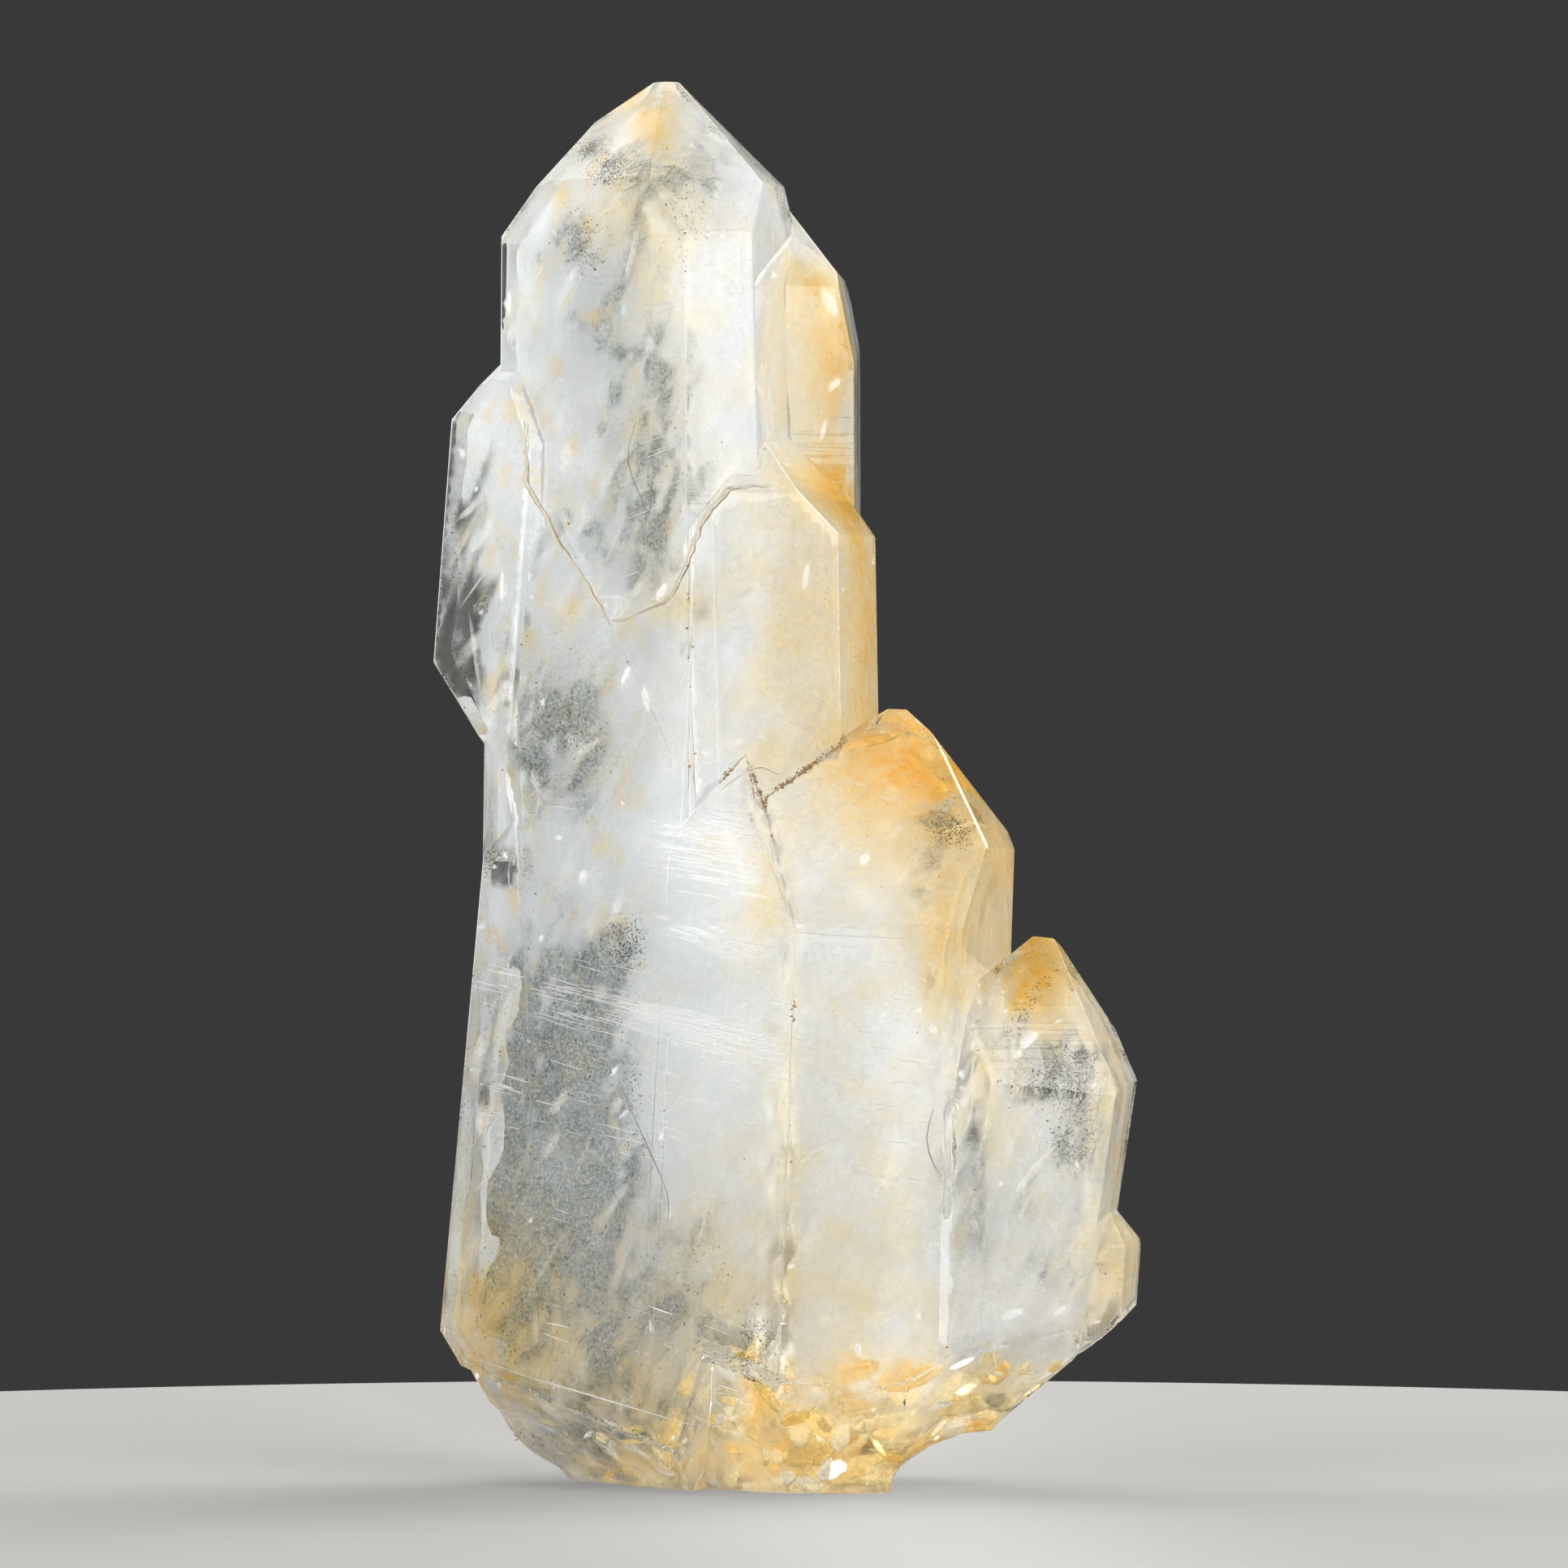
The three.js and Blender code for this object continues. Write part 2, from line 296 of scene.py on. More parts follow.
# Clear windows (below zero) and thick milk (above zero) on the side that faces the viewer
MILK_PATCHES = (
    Patch(-19.4, 36.5, 6.2, 9.0, -0.75), Patch(-21.9, 16.0, 7.5, 8.0, -0.4), Patch(-27.8, 37.4, 2.6, 9.0, -0.5),
    Patch(-19.1, 64.6, 4.4, 5.2, -0.75), Patch(-8.6, 17.4, 3.6, 6.0, -0.42), Patch(-13.6, 45.9, 1.7, 2.4, -0.8),
    Patch(-17.4, 105.6, 2.2, 2.6, -0.72), Patch(-14.2, 99.5, 2.4, 7.0, -0.34, 25.0),
    Patch(-11.4, 93.0, 2.6, 6.5, -0.36, 10.0),
    Patch(-8.1, 110.8, 3.4, 2.4, -0.5), Patch(-14.5, 112.3, 1.7, 1.2, -0.8), Patch(-10.6, 84.7, 2.6, 4.4, -0.4),
    Patch(-15.7, 80.8, 2.4, 2.4, -0.4), Patch(-28.6, 77.0, 2.0, 9.0, -0.62), Patch(-25.6, 77.0, 1.2, 4.5, -0.7),
    Patch(-25.0, 71.2, 1.6, 5.0, -0.7), Patch(22.2, 35.3, 2.8, 2.0, -0.7), Patch(23.6, 29.8, 1.9, 3.4, -0.5),
    Patch(22.2, 18.8, 2.4, 2.0, -0.42), Patch(14.0, 55.7, 1.8, 1.4, -0.5), Patch(-2.6, 12.7, 1.5, 1.6, -0.7),
    Patch(-17.0, 4.3, 4.0, 2.0, -0.45), Patch(-23.3, 52.6, 1.9, 1.3, -0.75), Patch(-28.0, 49.0, 1.8, 2.0, -0.6),
    Patch(-18.4, 26.0, 5.0, 5.0, -0.3), Patch(-25.0, 27.0, 3.0, 6.0, -0.3), Patch(19.0, 26.0, 2.0, 6.0, -0.2),
    Patch(-6.6, 41.0, 5.2, 15.0, 0.4), Patch(-19.1, 87.7, 3.4, 6.0, 0.35), Patch(-4.3, 100.0, 2.0, 8.0, 0.5),
    Patch(-17.0, 73.9, 4.6, 3.6, 0.25), Patch(-6.7, 52.6, 4.0, 4.0, 0.3), Patch(6.4, 40.0, 7.0, 20.0, 0.3),
    Patch(2.2, 74.0, 7.0, 12.0, 0.45), Patch(-24.3, 60.2, 1.9, 4.6, 0.5), Patch(9.0, 5.0, 12.0, 4.0, -0.25),
    Patch(10.0, 60.0, 6.0, 6.0, 0.25), Patch(-0.4, 98.0, 1.6, 9.0, 0.3), Patch(20.5, 27.0, 3.0, 8.0, 0.12),
    Patch(27.6, 19.6, 2.4, 4.4, 0.3), Patch(14.5, 28.6, 1.3, 4.6, -0.35), Patch(-13.6, 8.6, 4.0, 4.4, -0.22),
    Patch(11.0, 49.0, 3.6, 9.0, -0.3), Patch(12.0, 56.0, 4.0, 5.0, -0.2), Patch(18.6, 47.0, 1.5, 4.0, 0.25),
    Patch(-23.0, 80.0, 2.4, 20.0, 0.15), Patch(-6.4, 84.0, 1.8, 14.0, -0.22),
    Patch(-14.6, 22.0, 2.6, 6.0, -0.3), Patch(10.6, 38.0, 2.4, 5.0, -0.2), Patch(14.0, 57.0, 2.5, 3.0, -0.2),
    Patch(-10.5, 109.5, 5.0, 3.2, -0.22), Patch(-8.5, 6.5, 4.0, 3.0, -0.2), Patch(-14.7, 19.0, 2.2, 9.0, -0.13),
    Patch(27.2, 26.5, 1.6, 4.0, 0.2), Patch(-27.0, 11.5, 2.4, 4.0, 0.15),
    Patch(-15.5, 27.5, 3.0, 3.5, -0.25), Patch(-23.5, 62.0, 2.0, 3.0, 0.3), Patch(-6.4, 63.0, 3.0, 8.0, -0.15),
)
# Iron stain, from none to deep honey, on the side that faces the viewer
HONEY_PATCHES = (
    Patch(13.2, 62.4, 4.6, 3.6, 0.7), Patch(14.4, 51.0, 1.8, 7.0, 0.33), Patch(12.9, 44.8, 1.8, 4.6, 0.3),
    Patch(8.6, 60.4, 6.0, 6.0, 0.36), Patch(4.6, 97.0, 3.2, 9.0, 0.66), Patch(3.8, 85.3, 3.2, 2.6, 0.5),
    Patch(6.6, 74.0, 1.8, 12.0, 0.5), Patch(21.2, 44.6, 3.6, 4.0, 0.75), Patch(19.2, 41.6, 1.6, 1.8, 0.35),
    Patch(7.4, 3.6, 13.0, 4.4, 0.54), Patch(-1.9, 8.6, 1.8, 2.4, 0.6), Patch(-11.9, 1.9, 8.0, 2.2, 0.42),
    Patch(-25.3, 9.0, 4.0, 4.0, 0.26), Patch(-11.2, 115.7, 1.4, 3.2, 0.55), Patch(-12.5, 108.0, 5.0, 3.0, 0.2),
    Patch(-10.0, 103.0, 2.6, 6.0, 0.15), Patch(-1.4, 50.1, 1.3, 4.6, 0.22), Patch(-7.0, 16.4, 5.0, 6.0, 0.14),
    Patch(6.0, 16.0, 7.0, 7.0, 0.1), Patch(-12.0, 90.0, 1.6, 1.2, 0.22), Patch(-9.0, 74.6, 2.6, 1.8, 0.2),
    Patch(27.0, 20.0, 3.0, 5.0, 0.1), Patch(1.6, 74.0, 5.6, 12.0, 0.15),
    Patch(-0.4, 98.0, 1.8, 10.0, 0.12), Patch(16.0, 9.0, 8.0, 3.0, 0.2), Patch(-22.0, 16.0, 7.0, 10.0, 0.22),
    Patch(-6.5, 21.0, 6.0, 8.0, 0.06), Patch(6.0, 24.0, 8.0, 11.0, 0.03), Patch(-17.0, 66.0, 6.0, 6.0, 0.06),
    Patch(27.4, 33.0, 1.6, 7.0, 0.3), Patch(16.9, 34.0, 1.0, 5.0, 0.22), Patch(14.4, 57.6, 2.6, 2.6, 0.52),
    Patch(5.4, 95.0, 2.2, 6.0, 0.35), Patch(0.5, 28.0, 0.8, 18.0, 0.14), Patch(27.6, 19.6, 2.4, 4.4, 0.2),
    Patch(-9.4, 88.0, 3.6, 12.0, 0.11), Patch(-24.5, 16.0, 6.0, 9.0, 0.26), Patch(-12.0, 8.0, 5.0, 4.4, 0.26),
    Patch(5.8, 83.0, 2.2, 2.2, 0.5), Patch(2.4, 103.2, 2.0, 3.0, 0.3), Patch(-10.6, 113.0, 5.0, 4.0, 0.12),
    Patch(22.8, 37.4, 2.6, 2.6, 0.22), Patch(6.0, 7.7, 2.4, 2.4, 0.22), Patch(2.0, 3.5, 2.5, 2.0, 0.2),
    Patch(-6.4, 3.5, 3.0, 2.0, -0.15), Patch(-27.0, 22.0, 2.4, 9.0, 0.22), Patch(18.4, 53.0, 2.0, 5.0, 0.12),
    Patch(14.4, 16.0, 3.0, 4.0, -0.1), Patch(-16.0, 12.0, 7.0, 6.0, 0.07), Patch(10.2, 7.7, 2.4, 2.4, -0.15),
    Patch(-2.2, 61.9, 2.0, 2.0, 0.2), Patch(10.6, 52.0, 2.8, 6.0, 0.2), Patch(17.6, 53.0, 2.0, 4.0, 0.3),
)


@dataclass(frozen=True)
class Pane:
    """Clear window with straight sides in the picture plane: its sides and the softness of each, in millimetres."""

    left: float
    right: float
    bottom: float
    top: float
    softness: tuple[float, float, float, float]
    strength: float

    def at(self, points: np.ndarray) -> np.ndarray:
        """Strength inside, falling to zero across each side by a smooth step.

        Args:
            points: Points in millimetres.

        Returns:
            Strength at each point.
        """
        x, z = points[..., 0], points[..., 2]
        soft = self.softness
        share = smooth_step(self.left - soft[0], self.left + soft[0], x)
        share = share * (1.0 - smooth_step(self.right - soft[1], self.right + soft[1], x))
        share = share * smooth_step(self.bottom - soft[2], self.bottom + soft[2], z)
        return self.strength * share * (1.0 - smooth_step(self.top - soft[3], self.top + soft[3], z))


# Clear windows with one sharp side, and crystals that are clear right through
PANES = (
    Pane(-27.5, -13.9, 23.0, 44.5, (3.0, 0.8, 5.0, 2.5), -0.34),
    Pane(-23.0, -15.5, 58.0, 69.0, (1.0, 1.5, 3.0, 1.0), -0.3),
    Pane(-24.9, -21.3, 50.9, 53.9, (0.3, 0.3, 0.3, 0.3), -0.45),
    Pane(18.8, 25.0, 33.4, 37.4, (1.2, 0.8, 0.4, 1.0), -0.6),
    Pane(21.8, 25.2, 27.0, 33.6, (0.8, 0.6, 1.5, 0.6), -0.2),
    Pane(26.6, 29.5, 25.5, 33.0, (0.4, 0.4, 1.0, 1.0), -0.1),
    Pane(13.5, 16.6, 20.5, 33.5, (0.4, 0.4, 1.5, 1.0), -0.36),
    # This strip of the spire's left face is made clearer and darker by painted shade, so the edge where it meets the
    # brighter right face shows
    Pane(-12.0, -8.4, 70.5, 97.0, (3.0, 0.2, 6.0, 3.0), -0.22),
    Pane(-0.3, 1.1, 8.0, 46.5, (0.3, 0.3, 2.0, 0.6), -0.22),
)
CLEAR_THROUGH = (Patch(-29.0, 79.0, 4.2, 15.0, -0.26), Patch(-25.4, 73.0, 2.0, 6.0, -0.5))
# Where milky wisps stand out most
WISPY_PATCHES = (
    Patch(-19.0, 72.0, 7.0, 13.0, 0.24), Patch(-14.0, 92.0, 6.0, 10.0, 0.1), Patch(22.0, 27.0, 5.0, 12.0, 0.12),
)


class Growth:
    """How milky and how stained the quartz is at any place inside it."""

    milk_ground: float = 0.62
    rear_share: float = 0.2
    cloud_share: float = 0.06
    wisp_share: float = 0.09
    curd_share: float = 0.04
    honey_ground: float = 0.035
    honey_rise: float = 0.085
    base_honey: float = 0.35
    rear_honey: float = 0.16
    clump_share: float = 0.28
    rust_share: float = 0.04
    # Heights between which the foot's calm milk turns into the streaky milk above
    calm_foot: tuple[float, float] = (12.0, 36.0)

    def __init__(self) -> None:
        """Draw the random fields."""
        self.cloud = Swirl(11, 9.0)
        self.wisp = Swirl(12, 3.4, (0.8, 0.8, 3.2), 32.0)
        self.curd = Swirl(13, 2.2)
        self.rust = Swirl(14, 6.0)
        self.rear = Swirl(15, 16.0)
        self.column = Swirl(16, 5.0, (0.9, 0.9, 4.0), 6.0)

    @staticmethod
    def front(points: np.ndarray) -> np.ndarray:
        """One on the side that faces the viewer, falling to zero through the middle of the cluster."""
        return 1.0 - smooth_step(7.0, 15.0, points[..., 1])

    def milk(self, points: np.ndarray) -> np.ndarray:
        """Milkiness from zero to one: a ground tone, listed ovals in front, and random wisps and curds.

        Args:
            points: Points in millimetres.

        Returns:
            Milkiness at each point.
        """
        front = self.front(points)
        placed = sum(patch.at(points) for patch in MILK_PATCHES + PANES)
        behind = self.rear_share * self.rear.at(points) + self.rear_share * self.column.at(points)
        value = self.milk_ground + front * placed + (1.0 - front) * behind
        window = np.clip(-front * placed, 0.0, 1.0)
        streaky = smooth_step(*self.calm_foot, points[..., 2])
        wispy = self.wisp_share + (0.12 + 0.18 * streaky) * window
        wispy = wispy + sum(patch.at(points) for patch in WISPY_PATCHES)
        value += sum(patch.at(points) for patch in CLEAR_THROUGH)
        value += self.cloud_share * self.cloud.at(points) + wispy * self.wisp.at(points)
        value += (self.curd_share + (0.1 + 0.1 * streaky) * window) * self.curd.at(points)
        return np.clip(value, 0.0, 1.0)

    def honey(self, points: np.ndarray) -> np.ndarray:
        """Stain from zero to one: a rise to the right, listed ovals, the base, and random blotches.

        Args:
            points: Points in millimetres.

        Returns:
            Stain at each point.
        """
        front = self.front(points)
        placed = sum(patch.at(points) for patch in HONEY_PATCHES)
        ground = self.honey_ground + self.honey_rise * smooth_step(-14.0, 4.0, points[..., 0])
        base = self.base_honey * (1.0 - smooth_step(1.0, 9.0, points[..., 2]))
        behind = self.rear_honey * smooth_step(0.3, 1.6, self.rear.at(points + 40.0)) + base
        left = 1.0 - smooth_step(-16.0, -8.0, points[..., 0])
        clumps = self.clump_share * left * smooth_step(0.6, 1.6, self.curd.at(points * 0.7 + 9.0))
        clumps = clumps * (0.35 + 0.65 * smooth_step(20.0, 40.0, points[..., 2]))
        rust = self.rust_share * self.rust.at(points)
        value = ground + front * placed + (1.0 - front) * behind + rust + clumps
        return np.clip(value, 0.0, 1.0)


# Vertices, quads and triangles of closed surfaces
Surfaces = tuple[np.ndarray, np.ndarray, np.ndarray]


def closed_surfaces(rings: np.ndarray, first: np.ndarray, last: np.ndarray) -> Surfaces:
    """Join rings of points into closed surfaces: quads between rings, fans of triangles at both ends.

    Args:
        rings: Points by surface, ring and place round the ring.
        first: End point of each surface before its first ring.
        last: End point of each surface after its last ring.

    Returns:
        Vertices, quads and triangles of all the surfaces together.
    """
    count, rows, cols = rings.shape[:3]
    vertices = np.concatenate([rings.reshape(count, rows * cols, 3), first[:, None], last[:, None]], axis=1)
    row, col = np.meshgrid(np.arange(rows - 1), np.arange(cols), indexing="ij")
    right = (col + 1) % cols
    low, high = row * cols, (row + 1) * cols
    quads = np.stack([low + col, low + right, high + right, high + col], axis=-1).reshape(-1, 4)
    around = np.arange(cols)
    beside = (around + 1) % cols
    foot = np.stack([np.full(cols, rows * cols), beside, around], axis=1)
    top = (rows - 1) * cols
    head = np.stack([np.full(cols, rows * cols + 1), top + around, top + beside], axis=1)
    shift = np.arange(count)[:, None, None] * (rows * cols + 2)
    triangles = np.concatenate([foot, head])
    return vertices.reshape(-1, 3), (quads[None] + shift).reshape(-1, 4), (triangles[None] + shift).reshape(-1, 3)


def mesh_from(name: str, vertices: np.ndarray, quads: np.ndarray, triangles: np.ndarray,
              smooth: bool = True) -> bpy.types.Mesh:
    """Mesh from points of the growth frame.

    Args:
        name: Name of the mesh.
        vertices: Points in millimetres.
        quads: Rows of four indices.
        triangles: Rows of three indices.
        smooth: Whether its faces are shaded as one smooth surface.

    Returns:
        The mesh in metres in the shared frame.
    """
    mesh = bpy.data.meshes.new(name)
    corners = np.concatenate([quads.ravel(), triangles.ravel()]).astype(np.int32)
    starts = np.concatenate([np.arange(len(quads)) * 4, len(quads) * 4 + np.arange(len(triangles)) * 3])
    starts = starts.astype(np.int32)
    mesh.vertices.add(len(vertices))
    mesh.vertices.foreach_set("co", ((vertices + GROWTH_ORIGIN) * MM).astype(np.float32).ravel())
    mesh.loops.add(len(corners))
    mesh.loops.foreach_set("vertex_index", corners)
    mesh.polygons.add(len(starts))
    mesh.polygons.foreach_set("loop_start", starts)
    mesh.update(calc_edges=True)
    mesh.polygons.foreach_set("use_smooth", np.full(len(starts), smooth))
    return mesh


def add_values(mesh: bpy.types.Mesh, name: str, values: np.ndarray) -> None:
    """Store one number for each vertex under a name that materials read."""
    mesh.attributes.new(name, "FLOAT", "POINT").data.foreach_set("value", values.astype(np.float32).ravel())


def add_colours(mesh: bpy.types.Mesh, name: str, colours: np.ndarray) -> None:
    """Store one colour for each vertex under a name that materials read."""
    full = np.concatenate([colours, np.ones((len(colours), 1))], axis=1)
    mesh.attributes.new(name, "FLOAT_COLOR", "POINT").data.foreach_set("color", full.astype(np.float32).ravel())


def new_object(name: str, mesh: bpy.types.Mesh, material: bpy.types.Material) -> bpy.types.Object:
    """Put a finished mesh into the scene as a piece of the cluster.

    Args:
        name: Name of the piece.
        mesh: Mesh with its place in its vertices.
        material: Finish of the whole piece.

    Returns:
        The new object, riding on the cluster.
    """
    mesh.materials.clear()
    mesh.materials.append(material)
    piece = bpy.data.objects.new(name, mesh)
    bpy.context.scene.collection.objects.link(piece)
    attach(piece, BODY)
    return piece


class Wiring:
    """Node tree of a material or group, with short calls to add nodes and links."""

    def __init__(self, tree: bpy.types.NodeTree) -> None:
        """Keep the tree that is wired."""
        self.tree = tree

    def add(self, kind: str, **settings: object) -> bpy.types.Node:
        """Add a node of a kind and set its own properties.

        Args:
            kind: Blender's name of the node.
            settings: Properties of the node by name.

        Returns:
            The node.
        """
        node = self.tree.nodes.new(kind)
        for name, value in settings.items():
            setattr(node, name, value)
        return node

    def feed(self, source: object, target: bpy.types.NodeSocket) -> None:
        """Link a socket to a target, or set the target's own value.

        Args:
            source: Socket, number or colour.
            target: Socket that takes it.
        """
        if isinstance(source, bpy.types.NodeSocket):
            self.tree.links.new(source, target)
        else:
            target.default_value = source

    def math(self, operation: str, first: object, second: object) -> bpy.types.NodeSocket:
        """Result of one step of arithmetic, kept between zero and one for adding and taking away.

        Args:
            operation: Kind of arithmetic.
            first: First socket or number.
            second: Second socket or number.

        Returns:
            Socket of the result.
        """
        node = self.add("ShaderNodeMath", operation=operation)
        node.use_clamp = operation in ("ADD", "SUBTRACT")
        self.feed(first, node.inputs[0])
        self.feed(second, node.inputs[1])
        return node.outputs[0]

    def blend(self, share: object, first: object, second: object) -> bpy.types.NodeSocket:
        """Colour between two colours by a share.

        Args:
            share: Share of the second colour.
            first: First colour.
            second: Second colour.

        Returns:
            Socket of the colour.
        """
        node = self.add("ShaderNodeMix", data_type="RGBA")
        self.feed(share, node.inputs["Factor"])
        self.feed(first, node.inputs[6])
        self.feed(second, node.inputs[7])
        return node.outputs[2]

    def attribute(self, name: str, output: str = "Fac") -> bpy.types.NodeSocket:
        """Value or colour that the mesh holds under a name."""
        return self.add("ShaderNodeAttribute", attribute_name=name).outputs[output]

    def group(self, tree: bpy.types.NodeTree, **values: object) -> bpy.types.Node:
        """Place a node group with its own values; an underscore in a name stands for a blank.

        Args:
            tree: Node group.
            values: Values or sockets of its inputs by name.

        Returns:
            The group's node.
        """
        node = self.add("ShaderNodeGroup", node_tree=tree)
        for name, value in values.items():
            self.feed(value, node.inputs[name.replace("_", " ")])
        return node


def new_group(name: str, inputs: tuple[tuple[str, str], ...], outputs: tuple[tuple[str, str], ...]) -> Wiring:
    """Empty shader node group with named sockets and its two end nodes.

    Args:
        name: Name of the group.
        inputs: Names and socket kinds of its inputs.
        outputs: Names and socket kinds of its outputs.

    Returns:
        The group's wiring.
    """
    tree = bpy.data.node_groups.new(name, "ShaderNodeTree")
    for label, kind in inputs:
        tree.interface.new_socket(label, in_out="INPUT", socket_type=kind)
    for label, kind in outputs:
        tree.interface.new_socket(label, in_out="OUTPUT", socket_type=kind)
    return Wiring(tree)


class Effects:
    """Shader node groups that several finishes share."""

    def __init__(self) -> None:
        """Build both groups once."""
        self.grain = self.make_grain()
        self.stain = self.make_stain()

    @staticmethod
    def make_grain() -> bpy.types.NodeTree:
        """Mottling: noise in object space, spread from a low to a high value.

        Returns:
            The group, with a mask as its output.
        """
        sockets = (("Scale", "NodeSocketFloat"), ("Low", "NodeSocketFloat"), ("High", "NodeSocketFloat"))
        wiring = new_group("mottled_grain", sockets, (("Mask", "NodeSocketFloat"),))
        start, end = wiring.add("NodeGroupInput"), wiring.add("NodeGroupOutput")
        place = wiring.add("ShaderNodeTexCoord")
        noise = wiring.add("ShaderNodeTexNoise")
        noise.inputs["Detail"].default_value = 2.5
        noise.inputs["Roughness"].default_value = 0.6
        wiring.feed(place.outputs["Object"], noise.inputs["Vector"])
        wiring.feed(start.outputs["Scale"], noise.inputs["Scale"])
        spread = wiring.add("ShaderNodeMapRange")
        spread.inputs["From Min"].default_value = 0.3
        spread.inputs["From Max"].default_value = 0.7
        wiring.feed(noise.outputs["Fac"], spread.inputs["Value"])
        wiring.feed(start.outputs["Low"], spread.inputs["To Min"])
        wiring.feed(start.outputs["High"], spread.inputs["To Max"])
        wiring.feed(spread.outputs["Result"], end.inputs["Mask"])
        return wiring.tree

    @staticmethod
    def make_stain() -> bpy.types.NodeTree:
        """Iron stain: a pale colour going through a middle one to a deep one with the amount.

        Returns:
            The group, with a colour as its output.
        """
        sockets = (("Amount", "NodeSocketFloat"), ("Pale", "NodeSocketColor"), ("Middle", "NodeSocketColor"),
                   ("Deep", "NodeSocketColor"))
        wiring = new_group("iron_stain", sockets, (("Colour", "NodeSocketColor"),))
        start, end = wiring.add("NodeGroupInput"), wiring.add("NodeGroupOutput")
        lower = wiring.add("ShaderNodeMapRange")
        lower.inputs["From Min"].default_value = 0.06
        lower.inputs["From Max"].default_value = 0.4
        upper = wiring.add("ShaderNodeMapRange")
        upper.inputs["From Min"].default_value = 0.4
        wiring.feed(start.outputs["Amount"], lower.inputs["Value"])
        wiring.feed(start.outputs["Amount"], upper.inputs["Value"])
        half = wiring.blend(lower.outputs["Result"], start.outputs["Pale"], start.outputs["Middle"])
        wiring.feed(wiring.blend(upper.outputs["Result"], half, start.outputs["Deep"]), end.inputs["Colour"])
        return wiring.tree


def bare_material(name: str) -> tuple[bpy.types.Material, Wiring, bpy.types.NodeSocket]:
    """Material with nothing but its output node.

    Args:
        name: Name of the material.

    Returns:
        The material, its wiring and its surface socket.
    """
    material = bpy.data.materials.new(name)
    material.use_nodes = True
    material.node_tree.nodes.clear()
    wiring = Wiring(material.node_tree)
    return material, wiring, wiring.add("ShaderNodeOutputMaterial").inputs["Surface"]


@dataclass(frozen=True)
class QuartzFinish:
    """Clear quartz: refracting skin, faintly striated, stained and frosted in places, that lets lamp light in."""

    ior: float = 1.544
    smoothness: float = 0.02
    frosting: float = 0.35
    absorption: float = 0.5
    absorbed_to: tuple[float, float, float, float] = (0.98, 0.955, 0.89, 1.0)

    def material(self, effects: Effects) -> bpy.types.Material:
        """Node material of the skin.

        Args:
            effects: Shared node groups.

        Returns:
            The material.
        """
        material, wiring, surface = bare_material("quartz_skin")
        glass = wiring.add("ShaderNodeBsdfPrincipled")
        glass.inputs["IOR"].default_value = self.ior
        glass.inputs["Transmission Weight"].default_value = 1.0
        stain = wiring.group(effects.stain, Amount=wiring.attribute("honey"), Pale=(1.0, 0.995, 0.98, 1.0),
                             Middle=(1.0, 0.97, 0.86, 1.0), Deep=(1.0, 0.87, 0.5, 1.0))
        wiring.feed(stain.outputs["Colour"], glass.inputs["Base Color"])
        frost = wiring.math("MULTIPLY", wiring.attribute("frost"), self.frosting)
        wiring.feed(wiring.math("ADD", frost, self.smoothness), glass.inputs["Roughness"])
        wiring.feed(self.striations(wiring), glass.inputs["Normal"])
        wiring.feed(glass.outputs[0], surface)
        depths = wiring.add("ShaderNodeVolumeAbsorption")
        depths.inputs["Color"].default_value = self.absorbed_to
        depths.inputs["Density"].default_value = self.absorption
        wiring.feed(depths.outputs[0], surface.node.inputs["Volume"])
        return material

    @staticmethod
    def striations(wiring: Wiring) -> bpy.types.NodeSocket:
        """Faint growth lines across the walls: noise that is long sideways and short upwards, as a bump.

        Args:
            wiring: Wiring of the material.

        Returns:
            Socket of the bent normal.
        """
        place = wiring.add("ShaderNodeTexCoord")
        squeeze = wiring.add("ShaderNodeMapping")
        squeeze.inputs["Scale"].default_value = (60.0, 60.0, 1500.0)
        noise = wiring.add("ShaderNodeTexNoise")
        noise.inputs["Scale"].default_value = 1.0
        noise.inputs["Detail"].default_value = 2.0
        wiring.feed(place.outputs["Object"], squeeze.inputs["Vector"])
        wiring.feed(squeeze.outputs["Vector"], noise.inputs["Vector"])
        bump = wiring.add("ShaderNodeBump")
        bump.inputs["Strength"].default_value = 0.1
        bump.inputs["Distance"].default_value = 0.00004
        wiring.feed(noise.outputs["Fac"], bump.inputs["Height"])
        return bump.outputs["Normal"]


